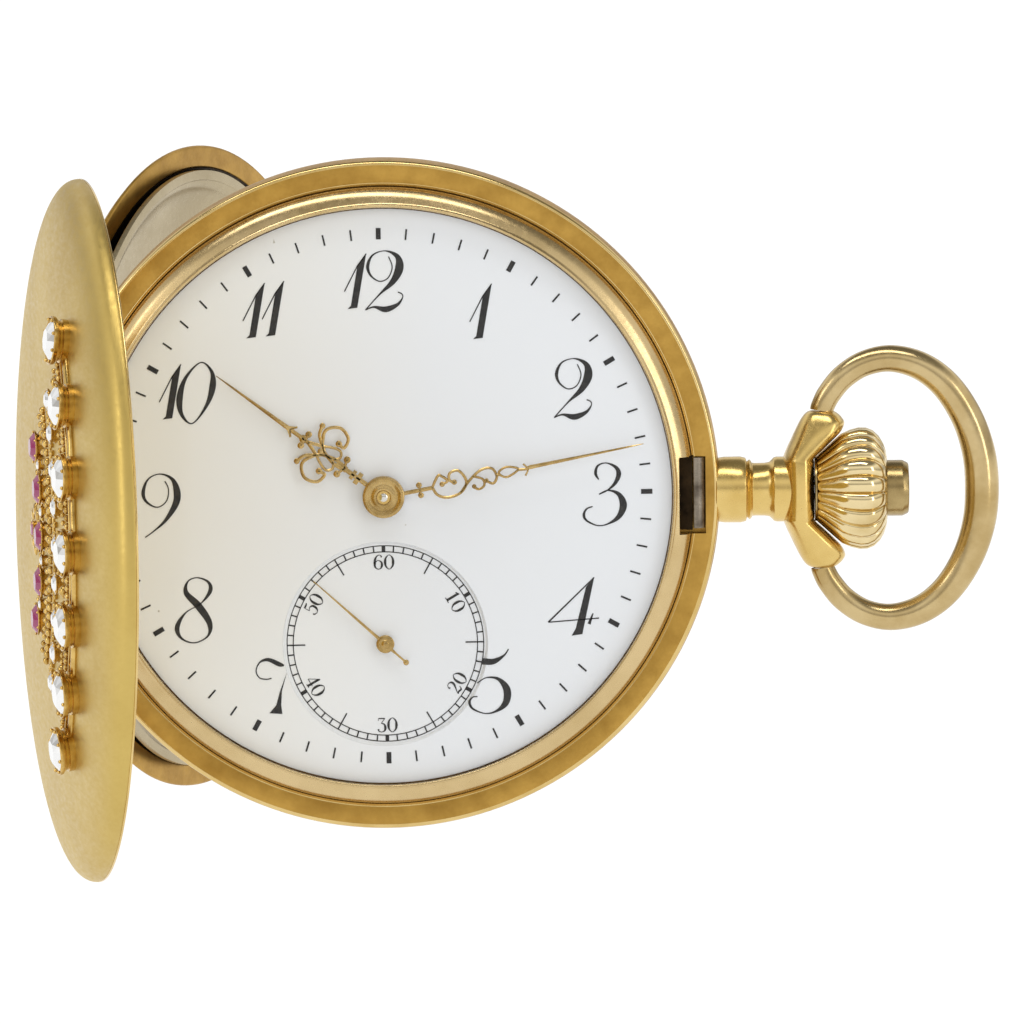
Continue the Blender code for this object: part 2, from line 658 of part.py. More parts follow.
def build_train():
    """Barrel, centre, third, fourth and escape wheels, each one level from the next."""
    barrel_turn = 0.0
    barrel_r = pitch(BARREL, CENTRE, BARREL_TEETH, CENTRE_PINION)
    rim = plate("barrel", [gear(BARREL, BARREL_TEETH, barrel_r, barrel_turn), circle(BARREL, 1.45, 16)],
                5.3, 5.6, BRASS)
    drum = [(7.0, 5.5), (7.5, 5.5), (7.5, 6.72), (7.0, 6.72)]
    combine(rim, "UNION", turned("tool", drum, BRASS, "Y", place(BARREL), 24))
    centre_turn = mesh_turn(CENTRE, BARREL, CENTRE_PINION, barrel_turn, BARREL_TEETH)
    pinion_r = pitch(CENTRE, BARREL, CENTRE_PINION, BARREL_TEETH)
    pinion = gear(CENTRE, CENTRE_PINION, pinion_r, centre_turn)
    rim_r = pitch(CENTRE, THIRD, CENTRE_TEETH, THIRD_PINION)
    outlines = [gear(CENTRE, CENTRE_TEETH, rim_r), *spokes(CENTRE, 1.6, 5.4, 5, 0.8)]
    centre = wheel("centre_wheel", CENTRE, outlines, (4.95, 5.15), (0.5, 1.3, 6.77), (pinion, 5.1, 5.9))
    third_turn = mesh_turn(THIRD, CENTRE, THIRD_PINION, 0.0, CENTRE_TEETH)
    pinion_r = pitch(THIRD, CENTRE, THIRD_PINION, CENTRE_TEETH)
    pinion = gear(THIRD, THIRD_PINION, pinion_r, third_turn)
    rim_r = pitch(THIRD, FOURTH, THIRD_TEETH, FOURTH_PINION)
    outlines = [gear(THIRD, THIRD_TEETH, rim_r), *spokes(THIRD, 1.2, 4.4, 5, 0.7)]
    third = wheel("third_wheel", THIRD, outlines, (6.2, 6.4), (0.3, 4.83, 6.77), (pinion, 4.86, 5.5))
    fourth_turn = mesh_turn(FOURTH, THIRD, FOURTH_PINION, 0.0, THIRD_TEETH)
    pinion_r = pitch(FOURTH, THIRD, FOURTH_PINION, THIRD_TEETH)
    pinion = gear(FOURTH, FOURTH_PINION, pinion_r, fourth_turn)
    rim_r = pitch(FOURTH, ESCAPE, FOURTH_TEETH, ESCAPE_PINION)
    outlines = [gear(FOURTH, FOURTH_TEETH, rim_r), *spokes(FOURTH, 1.1, 3.6, 5, 0.6)]
    fourth = wheel("fourth_wheel", FOURTH, outlines, (5.6, 5.8), (0.2, 2.05, 6.77), (pinion, 6.1, 6.6))
    escape_turn = mesh_turn(ESCAPE, FOURTH, ESCAPE_PINION, 0.0, FOURTH_TEETH)
    pinion_r = pitch(ESCAPE, FOURTH, ESCAPE_PINION, FOURTH_TEETH)
    pinion = gear(ESCAPE, ESCAPE_PINION, pinion_r, escape_turn)
    outlines = [escape_outline(), *spokes(ESCAPE, 0.8, 2.2, 4, 0.4)]
    levels, arbor = (5.0, 5.2), (0.22, 4.83, 6.77)
    escape = wheel("escape_wheel", ESCAPE, outlines, levels, arbor, (pinion, 5.45, 6.0), STEEL)
    return {"barrel": rim, "centre_wheel": centre, "third_wheel": third, "fourth_wheel": fourth,
            "escape_wheel": escape}


def escape_outline():
    """Club-foot teeth: a leaning tooth with a short flat tip."""
    step = 2 * math.pi / ESCAPE_TEETH
    points = []
    for k in range(ESCAPE_TEETH):
        for offset, radius in ((0.0, 2.6), (0.42, ESCAPE_R), (0.4, 2.6)):
            angle = (k + offset) * step
            points.append((ESCAPE[0] + radius * math.cos(angle), ESCAPE[1] + radius * math.sin(angle)))
    return points


def spring_spiral(name, centre, inner, outer, turns, steps, half_wide, low, high, look):
    """A flat spiral spring as one strip."""
    shape = bmesh.new()
    rings = []
    for k in range(steps + 1):
        share = k / steps
        angle = 2 * math.pi * turns * share
        radius = inner + (outer - inner) * share
        point = Vector((centre[0] + radius * math.cos(angle), 0, centre[1] + radius * math.sin(angle)))
        out = Vector((math.cos(angle), 0, math.sin(angle))) * half_wide
        deep, shallow = Vector((0, high, 0)), Vector((0, low, 0))
        corners = (point - out + shallow, point + out + shallow, point + out + deep, point - out + deep)
        rings.append([shape.verts.new(corner) for corner in corners])
    for ring, after in zip(rings, rings[1:]):
        join_rings(shape, ring, after, 4)
    shape.faces.new(rings[0])
    shape.faces.new(rings[-1])
    return from_bmesh(name, shape, look)


def build_balance():
    arms = spokes(BALANCE, 0.9, BALANCE_R - 0.7, 2, 0.7, 12)
    rim = plate("balance_wheel", [circle(BALANCE, BALANCE_R, 36), *arms, circle(BALANCE, 0.35, 12)],
                6.0, 6.4, BRASS)
    staff = cylinder(0.3, 4.83, 6.76, "Y", place(BALANCE), 12, "balance_staff", STEEL)
    hair = spring_spiral("hairspring", BALANCE, 0.6, 3.0, 4, 44, 0.05, 6.48, 6.7, BLUE_STEEL)
    pallet = plate("pallet_fork", [pallet_outline()], 5.3, 5.42, STEEL)
    return {"balance_wheel": rim, "balance_staff": staff, "hairspring": hair, "pallet_fork": pallet}


def pallet_outline():
    """An anchor across the escape wheel, with a lever that reaches to the balance staff."""
    half = [(0.35, 4.4), (0.2, 3.4), (0.22, 0.7), (1.7, -0.4), (2.0, -1.0), (1.6, -0.9), (0.35, -0.5)]
    outline = half + [(-x, z) for x, z in reversed(half)]
    heading = math.degrees(math.atan2(BALANCE[0] - PALLET[0], BALANCE[1] - PALLET[1]))
    return turn_outline(outline, PALLET, heading)


def build_mainspring():
    spring_spiral("mainspring", BARREL, 2.2, 6.5, 3, 36, 0.12, 5.75, 6.6, BLUE_STEEL)
    arbor = cylinder(0.7, 4.83, 7.95, "Y", place(BARREL), 12, "barrel_arbor", STEEL)
    combine(arbor, "UNION", cylinder(1.4, 5.65, 6.7, "Y", place(BARREL), 12))
    return arbor


def build_motion_works():
    """Under the dial: cannon pinion to minute wheel to hour wheel, 12 to 1 in all."""
    cannon_r = pitch(CENTRE, MINUTE_ARBOR, CANNON_TEETH, MINUTE_TEETH)
    cannon = plate("cannon_pinion", [gear(CENTRE, CANNON_TEETH, cannon_r)], 3.85, 4.25, STEEL)
    combine(cannon, "UNION", cylinder(0.8, 1.6, 4.0, "Y", (0, 0, 0), 16))
    combine(cannon, "DIFFERENCE", cylinder(0.53, 1.0, 5.0, "Y", (0, 0, 0), 16))
    minute_turn = mesh_turn(MINUTE_ARBOR, CENTRE, MINUTE_TEETH, 0.0, CANNON_TEETH)
    minute_r = pitch(MINUTE_ARBOR, CENTRE, MINUTE_TEETH, CANNON_TEETH)
    rim = gear(MINUTE_ARBOR, MINUTE_TEETH, minute_r, minute_turn)
    minute = plate("minute_wheel", [rim], 3.95, 4.1, BRASS)
    pinion_r = pitch(MINUTE_ARBOR, CENTRE, MINUTE_PINION, HOUR_TEETH)
    hour_turn = mesh_turn(CENTRE, MINUTE_ARBOR, HOUR_TEETH, 0.0, MINUTE_PINION)
    pinion = gear(MINUTE_ARBOR, MINUTE_PINION, pinion_r)
    combine(minute, "UNION", plate("tool", [pinion], 3.25, 4.0, STEEL))
    hour_r = pitch(CENTRE, MINUTE_ARBOR, HOUR_TEETH, MINUTE_PINION)
    hour = plate("hour_wheel", [gear(CENTRE, HOUR_TEETH, hour_r, hour_turn)], 3.25, 3.4, BRASS)
    combine(hour, "UNION", cylinder(1.05, 1.92, 3.3, "Y", (0, 0, 0), 20))
    combine(hour, "DIFFERENCE", cylinder(0.85, 1.0, 4.0, "Y", (0, 0, 0), 20))
    return {"cannon_pinion": cannon, "minute_wheel": minute, "hour_wheel": hour}


def bridge(name, outline, foot, holes):
    """A bridge or cock: a plate over the train with a foot down to the main plate."""
    piece = plate(name, [outline], BRIDGE_Y[0], BRIDGE_Y[1], NICKEL)
    combine(piece, "UNION", plate("tool", [foot], PLATE_Y[1] + GAP, BRIDGE_Y[0] + 0.1, NICKEL))
    for x, z, radius in holes:
        combine(piece, "DIFFERENCE", cylinder(radius, 5.5, 8.0, "Y", (x, 0, z), 24 if radius > 2 else 12))
    return piece


def screw_holes(indices):
    return [(*SCREWS[k], 0.45) for k in indices]


def build_plates():
    main = plate("main_plate", [circle((0, 0), MOVEMENT_R, 64)], PLATE_Y[0], PLATE_Y[1], NICKEL)
    combine(main, "DIFFERENCE", cylinder(5.7, 3.0, 4.35, "Y", (0, 0, 0), 36))
    combine(main, "DIFFERENCE", cylinder(1.0, 3.0, 5.0, "Y", (0, 0, 0), 16))
    combine(main, "DIFFERENCE", cylinder(0.4, 3.0, 5.0, "Y", place(FOURTH), 12))
    combine(main, "DIFFERENCE", box((13.2, 4.2, -0.8), (22.0, 5.0, 0.8)))
    combine(main, "DIFFERENCE", box((14.6, 3.35, -1.8), (20.6, 5.0, 1.8)))
    barrel = arc((0, 0), 21.2, -12, 112, 28) + [(-2.2, 3.6), (3.4, -2.2), (12.0, -4.4)]
    foot = arc((0, 0), 21.2, 22, 108, 14) + arc((0, 0), 18.2, 108, 22, 14)
    bridge("barrel_bridge", barrel, foot, [(*BARREL, 0.75), (*CROWN_WHEEL, 4.1), *screw_holes((0, 1))])
    train = arc((0, 0), 21.2, -110, -15, 22) + [(12.0, -4.8), (3.3, -2.6), (-2.5, 3.1), (-2.9, -3.0),
                                                (-4.0, -9.2), (-6.4, -13.4)]
    foot = arc((0, 0), 21.2, -95, -24, 12) + arc((0, 0), 18.0, -24, -95, 12)
    bridge("train_bridge", train, foot, screw_holes((2, 3)))
    x, z = BALANCE
    cock = (arc((0, 0), 21.2, 135, 168, 8) + [(-16.0, 1.5), (-14.2, -3.4)] + arc(BALANCE, 2.7, 145, 395, 10)
            + [(-9.0, -1.0), (-8.2, 8.0)])
    foot = arc((0, 0), 21.2, 135, 166, 6) + [(-13.0, 5.0), (-9.0, 8.5)]
    bridge("balance_cock", cock, foot, screw_holes((4,)))
    lean = math.sqrt(0.5)
    along, across = (-lean, -lean), (lean, -lean)

    def spot(a, b):
        return (PALLET[0] + a * along[0] + b * across[0], PALLET[1] + a * along[1] + b * across[1])

    top = [spot(-0.8, -0.9), spot(-0.8, 0.9), spot(5.0, 1.2), spot(5.0, -1.2)]
    foot = [spot(2.6, -1.0), spot(2.6, 1.0), spot(4.9, 1.1), spot(4.9, -1.1)]
    small = plate("pallet_bridge", [top], 5.5, 5.85, NICKEL)
    combine(small, "UNION", plate("tool", [foot], PLATE_Y[1] + GAP, 5.6, NICKEL))


def build_keyless():
    """Winding and setting work on the stem, and the wheels on the barrel bridge."""
    low, high = KEYLESS_Y
    pinion = tube("winding_pinion", 0.65, 1.6, 17.9, 20.2, STEEL, "X", (0, MID_Y, 0), 2 * WINDING_TEETH)
    clutch = tube("sliding_clutch", 0.65, 1.5, 15.9, 17.6, STEEL, "X", (0, MID_Y, 0), 24)
    yoke = [(18.6, 2.2), (19.2, 2.6), (18.2, 4.8), (16.4, 4.4), (16.0, 2.9), (16.8, 2.5), (17.4, 3.4)]
    lever = plate("setting_lever", [yoke], 4.85, 5.1, STEEL)
    carry(pivot("setting_lever_pivot", (17.8, 5.0, 4.2)), lever)
    ratchet_r = pitch(BARREL, CROWN_WHEEL, RATCHET_TEETH, CROWN_TEETH)
    ratchet = plate("ratchet_wheel", [gear(BARREL, RATCHET_TEETH, ratchet_r), circle(BARREL, 0.75, 12)],
                    low, high, STEEL)
    crown_r = pitch(CROWN_WHEEL, BARREL, CROWN_TEETH, RATCHET_TEETH)
    crown_turn = mesh_turn(CROWN_WHEEL, BARREL, CROWN_TEETH, 0.0, RATCHET_TEETH)
    wheel_hole = circle(CROWN_WHEEL, 0.6, 12)
    crown_wheel = plate("crown_wheel", [gear(CROWN_WHEEL, CROWN_TEETH, crown_r, crown_turn), wheel_hole],
                        low, high, STEEL)
    skirt = [(3.0, 6.63), (3.85, 6.63), (3.85, 7.8), (3.0, 7.8)]
    combine(crown_wheel, "UNION", turned("tool", skirt, STEEL, "Y", place(CROWN_WHEEL), 20))
    heading = math.degrees(math.atan2(BARREL[0] - CLICK[0], BARREL[1] - CLICK[1]))
    nose = [(-0.7, -0.7), (0.7, -0.7), (0.8, 0.3), (0.15, 1.5), (-0.35, 1.1)]
    click = plate("click", [turn_outline(nose, CLICK, heading)], low, low + 0.2, STEEL)
    carry(pivot("click_pivot", place(CLICK, low)), click)
    lever = regulator()
    return {"winding_pinion": pinion, "sliding_clutch": clutch, "ratchet_wheel": ratchet,
            "crown_wheel": crown_wheel, "regulator_lever": lever}


def regulator():
    """The index on the balance cock: a ring round the jewel with a long pointer."""
    ring = arc((0, 0), 1.6, 100, 440, 20)
    outline = turn_outline(ring + [(0.12, 5.2), (-0.12, 5.2)], BALANCE, -20)
    return plate("regulator_lever", [outline, circle(BALANCE, 1.0, 16)], BRIDGE_Y[1] + GAP, 7.85, STEEL)


def build_screws():
    for number, spot in enumerate(SCREWS, 1):
        name = f"bridge_screw_{number}"
        screw = cylinder(0.85, BRIDGE_Y[1] + GAP, 7.95, "Y", place(spot), 12, name, BLUE_STEEL)
        combine(screw, "UNION", cylinder(0.4, 5.8, 7.8, "Y", place(spot), 8))
        slot = box((spot[0] - 1.0, 7.8, spot[1] - 0.12), (spot[0] + 1.0, 8.1, spot[1] + 0.12))
        combine(screw, "DIFFERENCE", slot)


def set_origins(pieces):
    """Hangs each turning piece of the movement on an empty at its arbor."""
    arbors = {
        BARREL: ("barrel", "barrel_arbor", "ratchet_wheel"),
        CENTRE: ("centre_wheel", "cannon_pinion", "minute_hand", "hour_wheel", "hour_hand"),
        THIRD: ("third_wheel",),
        FOURTH: ("fourth_wheel", "seconds_hand"),
        ESCAPE: ("escape_wheel",),
        PALLET: ("pallet_fork",),
        BALANCE: ("balance_wheel", "balance_staff", "hairspring", "regulator_lever"),
        MINUTE_ARBOR: ("minute_wheel",),
        CROWN_WHEEL: ("crown_wheel",),
    }
    for spot, names in arbors.items():
        empty = pivot("arbor_" + names[0], place(spot, MID_Y))
        carry(empty, *[pieces[name] for name in names])


def main():
    clear_scene()
    build_band()
    build_bezel()
    build_crystal()
    build_lid()
    build_rear_cover()
    build_cuvette()
    build_pins()
    build_pendant()
    build_bow()
    build_crown()
    build_latch()
    build_lift_spring()
    build_dials()
    pieces = build_hands()
    pieces.update(build_train())
    pieces["barrel_arbor"] = build_mainspring()
    pieces.update(build_balance())
    pieces.update(build_motion_works())
    pieces.update(build_keyless())
    build_plates()
    build_screws()
    set_origins(pieces)


main()
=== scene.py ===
"""Looks of the hunter pocket watch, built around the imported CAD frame.

Sizes are in millimetres and become metres in the mesh makers. X runs to the crown, Z to
12 o'clock, and the dial faces -Y. The lid, rear cover and cuvette are drawn closed and
then swung open about their hinges, whose places come from the frame.
"""
import json
import math

import bmesh
import bpy
from mathutils import Matrix, Vector


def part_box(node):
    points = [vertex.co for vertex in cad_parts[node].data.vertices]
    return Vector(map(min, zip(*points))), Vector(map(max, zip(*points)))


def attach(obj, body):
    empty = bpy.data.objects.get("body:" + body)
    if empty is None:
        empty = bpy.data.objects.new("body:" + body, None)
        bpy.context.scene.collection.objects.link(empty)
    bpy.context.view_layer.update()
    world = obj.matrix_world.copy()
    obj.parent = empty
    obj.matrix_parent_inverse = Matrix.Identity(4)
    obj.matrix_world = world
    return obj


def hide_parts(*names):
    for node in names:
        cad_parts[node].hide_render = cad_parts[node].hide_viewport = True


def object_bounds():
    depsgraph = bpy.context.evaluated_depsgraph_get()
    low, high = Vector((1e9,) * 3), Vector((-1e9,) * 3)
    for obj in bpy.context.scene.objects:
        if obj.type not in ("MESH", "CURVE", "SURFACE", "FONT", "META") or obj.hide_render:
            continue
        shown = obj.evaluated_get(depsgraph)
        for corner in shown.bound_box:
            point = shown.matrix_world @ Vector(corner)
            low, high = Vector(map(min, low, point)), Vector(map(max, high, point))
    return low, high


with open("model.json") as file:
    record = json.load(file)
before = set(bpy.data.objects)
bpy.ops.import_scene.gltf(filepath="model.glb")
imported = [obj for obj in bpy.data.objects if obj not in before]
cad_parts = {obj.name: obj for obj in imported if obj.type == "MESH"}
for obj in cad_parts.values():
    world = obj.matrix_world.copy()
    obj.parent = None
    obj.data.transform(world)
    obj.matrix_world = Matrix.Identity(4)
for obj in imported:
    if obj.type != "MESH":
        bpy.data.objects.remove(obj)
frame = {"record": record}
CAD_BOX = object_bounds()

MM = 0.001
X, Y, Z = 0, 1, 2


def reach_of(node, axis):
    """Where a CAD node begins and ends along an axis, in millimetres."""
    low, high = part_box(node)
    return low[axis] / MM, high[axis] / MM


def middle_of(name, axis):
    low, high = reach_of(name, axis)
    return (low + high) / 2


JOINTS = {joint["name"]: joint for joint in frame["record"]["behaviour"]["joints"]}


def hinge_of(joint):
    x, y, _ = JOINTS[joint]["pos_m"]
    return x / MM, y / MM


# sizes from the frame
CASE_R = reach_of("case_band", X)[1]
MID_Y = middle_of("crown", Y)
LID_HINGE = hinge_of("front_cover_hinge")
REAR_HINGE = hinge_of("rear_cover_hinge")
CUVETTE_HINGE = hinge_of("cuvette_hinge")
LID_OPEN = -JOINTS["front_cover_hinge"]["range_deg"][0]
REAR_OPEN = -JOINTS["rear_cover_hinge"]["range_deg"][0]
CUVETTE_OPEN = REAR_OPEN * next(link["ratio"] for link in frame["record"]["behaviour"]["couplings"]
                                if link["joint"] == "cuvette_hinge")
FLOOR_Z = CAD_BOX[0][2]
DIAL_Y = reach_of("dial", Y)[0]
SECONDS_Y = reach_of("seconds_dial", Y)[0]
SECONDS_Z = middle_of("seconds_dial", Z)
CROWN_START, CROWN_END = reach_of("crown", X)
BUTTON_END = reach_of("release_button", X)[1]
CROWN_LINE = (0, MID_Y, 0)

# sizes that the looks need
SMOOTH = 180                          # points round the large rings
RIM_FRONT, RIM_REAR = 2.8, 7.2        # the case's two flat rims, along Y
SLOT_LOW, SLOT_HIGH = -3.05, 2.7      # the catch's slot in the rim and bezel, along Z
LID_R, LID_RISE, SHELL = 25.1, 3.45, 0.45
REAR_R, REAR_RISE = 24.7, 4.35
COVER_KNUCKLE, CUVETTE_KNUCKLE = 0.55, 0.36
COVER_ENDS = [(2.06, 4.2), (-4.2, -2.06)]
JEWEL_CENTRE_X = -5.8                 # the crescent's arcs share this centre
ORNAMENT_X = -2.2
DIAL_R, DIAL_THICK = 21.8, 0.75
POST_HOLE_R, SECONDS_HOLE_R = 1.3, 7.62
NUMERAL_R, TRACK_R = 16.2, 19.5
SECONDS_NUMERAL_R, SECONDS_NUMERAL_SIZE = 6.08, 0.265
SECONDS_TRACK = (6.84, 7.3)
INK_PROUD, INK_SUNK = 0.03, 0.02      # the print stands out of the enamel and reaches into it
DIAL_TURN = -0.5                      # the printing sits a little off the pendant's line
MINUTE_ANGLE, HOUR_ANGLE, SECONDS_ANGLE = 78.9, 306.6, 312.0
EDGE_BEVEL = 0.00009                  # in metres
FLOOR_SIDE = 3.0
CAMERA_DISTANCE, CAMERA_RISE, CAMERA_ROLL = 0.671, 5.3, -0.6


# ---------------------------------------------------------------- materials

def feed(tree, item, **inputs):
    """Sets a node's inputs, named with _ for a space, to values or to other nodes' outputs."""
    for name, source in inputs.items():
        socket = item.inputs[name.replace("_", " ")]
        if isinstance(source, bpy.types.NodeSocket):
            tree.links.new(source, socket)
        else:
            socket.default_value = source
    return item


def node(tree, kind, **inputs):
    return feed(tree, tree.nodes.new(kind), **inputs)


def material(name):
    """A new material, its node tree, its shader and the coordinates of what wears it."""
    item = bpy.data.materials.new(name)
    item.use_nodes = True
    tree = item.node_tree
    return item, tree, tree.nodes["Principled BSDF"], node(tree, "ShaderNodeTexCoord").outputs["Object"]


def noise(tree, coords, scale, detail=3.0, roughness=0.5):
    return node(tree, "ShaderNodeTexNoise", Vector=coords, Scale=scale, Detail=detail,
                Roughness=roughness).outputs["Fac"]


def ramp(tree, value, stops):
    item = node(tree, "ShaderNodeValToRGB", Fac=value)
    elements = item.color_ramp.elements
    for element, (position, colour) in zip(elements, (stops[0], stops[-1])):
        element.position = position
        element.color = (*colour, 1)
    for position, colour in stops[1:-1]:
        elements.new(position).color = (*colour, 1)
    return item.outputs["Color"]


def span(tree, value, low, high, start=0.3, end=0.7):
    """Maps start..end, by default where a noise's values lie, to low..high."""
    return node(tree, "ShaderNodeMapRange", Value=value, From_Min=start, From_Max=end, To_Min=low,
                To_Max=high).outputs["Result"]


def bump(tree, shader, height, strength, distance):
    raised = node(tree, "ShaderNodeBump", Height=height, Strength=strength, Distance=distance)
    feed(tree, shader, Normal=raised.outputs["Normal"])


def metal(name, light, dark, rough, grain, grain_depth, patch=250.0, stretch=(1, 1, 1)):
    """A metal with patchy tone, uneven gloss and a fine grain in its surface."""
    item, tree, shader, coords = material(name)
    stretched = node(tree, "ShaderNodeMapping", Vector=coords, Scale=stretch).outputs["Vector"]
    patches = noise(tree, coords, patch, 4.0, 0.6)
    fine = noise(tree, stretched, grain, 4.0, 0.65)
    feed(tree, shader, Metallic=1.0, Base_Color=ramp(tree, patches, [(0.3, dark), (0.62, light)]),
         Roughness=span(tree, fine, rough * 0.82, rough * 1.22))
    bump(tree, shader, fine, grain_depth, 0.00002)
    return item


def glassy(name, colour, ior, transmission, alpha=1.0, rough=0.01, mirror=0.0):
    """Glass or a stone, with a faintly uneven tone."""
    item, tree, shader, coords = material(name)
    darker = tuple(value * 0.93 for value in colour)
    tone = ramp(tree, noise(tree, coords, 900.0, 2.0), [(0.3, darker), (0.7, colour)])
    feed(tree, shader, Base_Color=tone, IOR=ior, Transmission_Weight=transmission, Alpha=alpha,
         Metallic=mirror, Roughness=rough)
    return item


def enamel_with_painted_light():
    """Fired enamel: cool white, with painted warm light on its left side, a faint painted glow and the odd
    faint speck.
    """
    item, tree, shader, coords = material("enamel_with_painted_light")
    across = node(tree, "ShaderNodeSeparateXYZ", Vector=coords).outputs["X"]
    # the warmer colour towards the left is painted light
    side = span(tree, across, 0.0, 1.0, -0.024, 0.004)
    tone = ramp(tree, side, [(0.0, (0.94, 0.92, 0.82)), (1.0, (0.88, 0.915, 0.96))])
    specks = noise(tree, coords, 1500.0, 2.0)
    mask = ramp(tree, specks, [(0.17, (0.62, 0.58, 0.5)), (0.21, (1.0, 1.0, 1.0))])
    mix = node(tree, "ShaderNodeMix")
    mix.data_type = "RGBA"
    mix.blend_type = "MULTIPLY"
    feed(tree, mix, Factor=1.0, A=tone, B=mask)
    # the small emission is a painted glow over the whole dial
    feed(tree, shader, Base_Color=mix.outputs["Result"], Roughness=0.22, Coat_Weight=0.5,
         Coat_Roughness=0.04, Emission_Color=(0.95, 0.97, 1.0, 1), Emission_Strength=0.05)
    bump(tree, shader, noise(tree, coords, 160.0, 1.0), 0.08, 0.0001)
    return item


def ink_black():
    item, tree, shader, coords = material("dial_ink")
    tone = noise(tree, coords, 2500.0)
    feed(tree, shader, Roughness=0.45,
         Base_Color=ramp(tree, tone, [(0.3, (0.012, 0.012, 0.014)), (0.75, (0.035, 0.033, 0.03))]))
    return item


def striped_nickel(name, turn):
    """Nickel plate with soft stripes ground across it."""
    item, tree, shader, coords = material(name)
    leant = node(tree, "ShaderNodeMapping", Vector=coords, Rotation=(0, math.radians(turn), 0))
    wave = node(tree, "ShaderNodeTexWave", Vector=leant.outputs["Vector"], Scale=260.0, Distortion=0.0)
    stripes = wave.outputs["Fac"]
    fine = noise(tree, coords, 9000.0)
    feed(tree, shader, Metallic=1.0, Roughness=span(tree, fine, 0.2, 0.32),
         Base_Color=ramp(tree, stripes, [(0.15, (0.36, 0.34, 0.31)), (0.85, (0.66, 0.63, 0.57))]))
    bump(tree, shader, stripes, 0.35, 0.00006)
    return item


def make_materials():
    """Metals give light tone, dark tone, roughness, grain size, grain depth and patch size."""
    brushed, across = (1, 1, 9), (1, 0.2, 1)
    return {
        "matte": metal("gold_bloomed", (0.56, 0.335, 0.075), (0.40, 0.225, 0.045), 0.40, 4200.0, 0.55,
                       320.0),
        "satin": metal("gold_satin", (0.62, 0.455, 0.14), (0.55, 0.39, 0.11), 0.42, 3000.0, 0.25, 90.0,
                       across),
        "polish": metal("gold_polished", (0.76, 0.57, 0.25), (0.62, 0.43, 0.15), 0.15, 2600.0, 0.06, 200.0),
        "yoke": metal("gold_pendant", (0.76, 0.55, 0.20), (0.63, 0.43, 0.13), 0.24, 2800.0, 0.12, 220.0),
        "crown": metal("gold_crown", (0.80, 0.65, 0.36), (0.62, 0.46, 0.20), 0.13, 2600.0, 0.08, 240.0),
        "bow": metal("gold_worn", (0.62, 0.475, 0.24), (0.47, 0.335, 0.14), 0.21, 3200.0, 0.14, 260.0),
        "button": metal("gold_button", (0.46, 0.34, 0.15), (0.30, 0.21, 0.085), 0.24, 3200.0, 0.2, 500.0),
        "bezel": metal("gold_bezel", (0.66, 0.50, 0.26), (0.54, 0.395, 0.185), 0.25, 2200.0, 0.025, 180.0),
        "inner": metal("gold_inner", (0.47, 0.39, 0.245), (0.39, 0.315, 0.185), 0.3, 2600.0, 0.12, 150.0),
        "hand": metal("gilt_hand", (0.60, 0.42, 0.17), (0.36, 0.23, 0.075), 0.25, 5200.0, 0.2, 700.0),
        # dark gold that paints the shade in narrow gaps
        "groove_shade": metal("gold_groove_shade", (0.16, 0.09, 0.025), (0.07, 0.038, 0.012), 0.5, 4000.0, 0.3),
        "setting": metal("gold_setting", (0.72, 0.49, 0.16), (0.42, 0.25, 0.06), 0.2, 2400.0, 0.25, 900.0),
        "catch": metal("catch_steel", (0.30, 0.255, 0.20), (0.10, 0.08, 0.06), 0.3, 3600.0, 0.3, 800.0,
                       brushed),
        # near black: painted shade for the catch's slot and the inside of the rear cover
        "slot": metal("slot_painted_shade", (0.045, 0.028, 0.014), (0.015, 0.01, 0.006), 0.55, 3600.0, 0.3, 700.0),
        "steel": metal("steel_polished", (0.46, 0.46, 0.46), (0.30, 0.30, 0.30), 0.22, 3600.0, 0.15, 600.0,
                       brushed),
        "blue": metal("steel_blued", (0.03, 0.06, 0.30), (0.02, 0.035, 0.19), 0.2, 3000.0, 0.1, 500.0),
        "brass": metal("gilt_brass", (0.72, 0.50, 0.18), (0.60, 0.39, 0.12), 0.24, 4200.0, 0.12, 400.0),
        "enamel": enamel_with_painted_light(),
        "ink": ink_black(),
        "glass": glassy("crystal_glass", (0.02, 0.02, 0.022), 1.5, 0.0, 0.03, 0.02),
        "diamond": glassy("diamond", (0.90, 0.90, 0.89), 2.3, 0.0, 1.0, 0.05, 0.85),
        "ruby": glassy("ruby", (0.34, 0.02, 0.12), 1.77, 0.1),
        "jewel": glassy("jewel_pink", (0.55, 0.02, 0.09), 1.77, 0.1, 1.0, 0.05),
        "nickel_a": striped_nickel("nickel_striped", 35),
        "nickel_b": striped_nickel("nickel_striped_across", -35),
        "bevel": metal("nickel_bevel", (0.80, 0.78, 0.72), (0.68, 0.65, 0.58), 0.12, 2600.0, 0.05, 300.0),
        "nickel": metal("nickel_frosted", (0.58, 0.54, 0.46), (0.48, 0.44, 0.37), 0.34, 5200.0, 0.35, 500.0),
    }


MATERIALS = make_materials()

# the record's material slot that each look belongs to, unless a piece says otherwise
SLOTS = {
    **dict.fromkeys(("matte", "satin", "groove_shade", "setting", "slot"), "matte_gold"),
    **dict.fromkeys(("polish", "yoke", "crown", "bow", "button", "bezel", "inner"), "polished_gold"),
    **dict.fromkeys(("enamel", "ink"), "enamel"),
    **dict.fromkeys(("ruby", "jewel"), "ruby"),
    **dict.fromkeys(("catch", "bevel"), "steel"),
    "hand": "gilt_hand", "diamond": "diamond", "glass": "crystal_glass", "brass": "gilt_brass",
}


# ---------------------------------------------------------------- mesh makers

def add_object(name, data):
    item = bpy.data.objects.new(name, data)
    bpy.context.collection.objects.link(item)
    return item


def metre_mesh(name, shape):
    """Turns a bmesh in millimetres into a mesh in metres."""
    mesh = bpy.data.meshes.new(name)
    shape.to_mesh(mesh)
    shape.free()
    mesh.transform(Matrix.Scale(MM, 4))
    return mesh


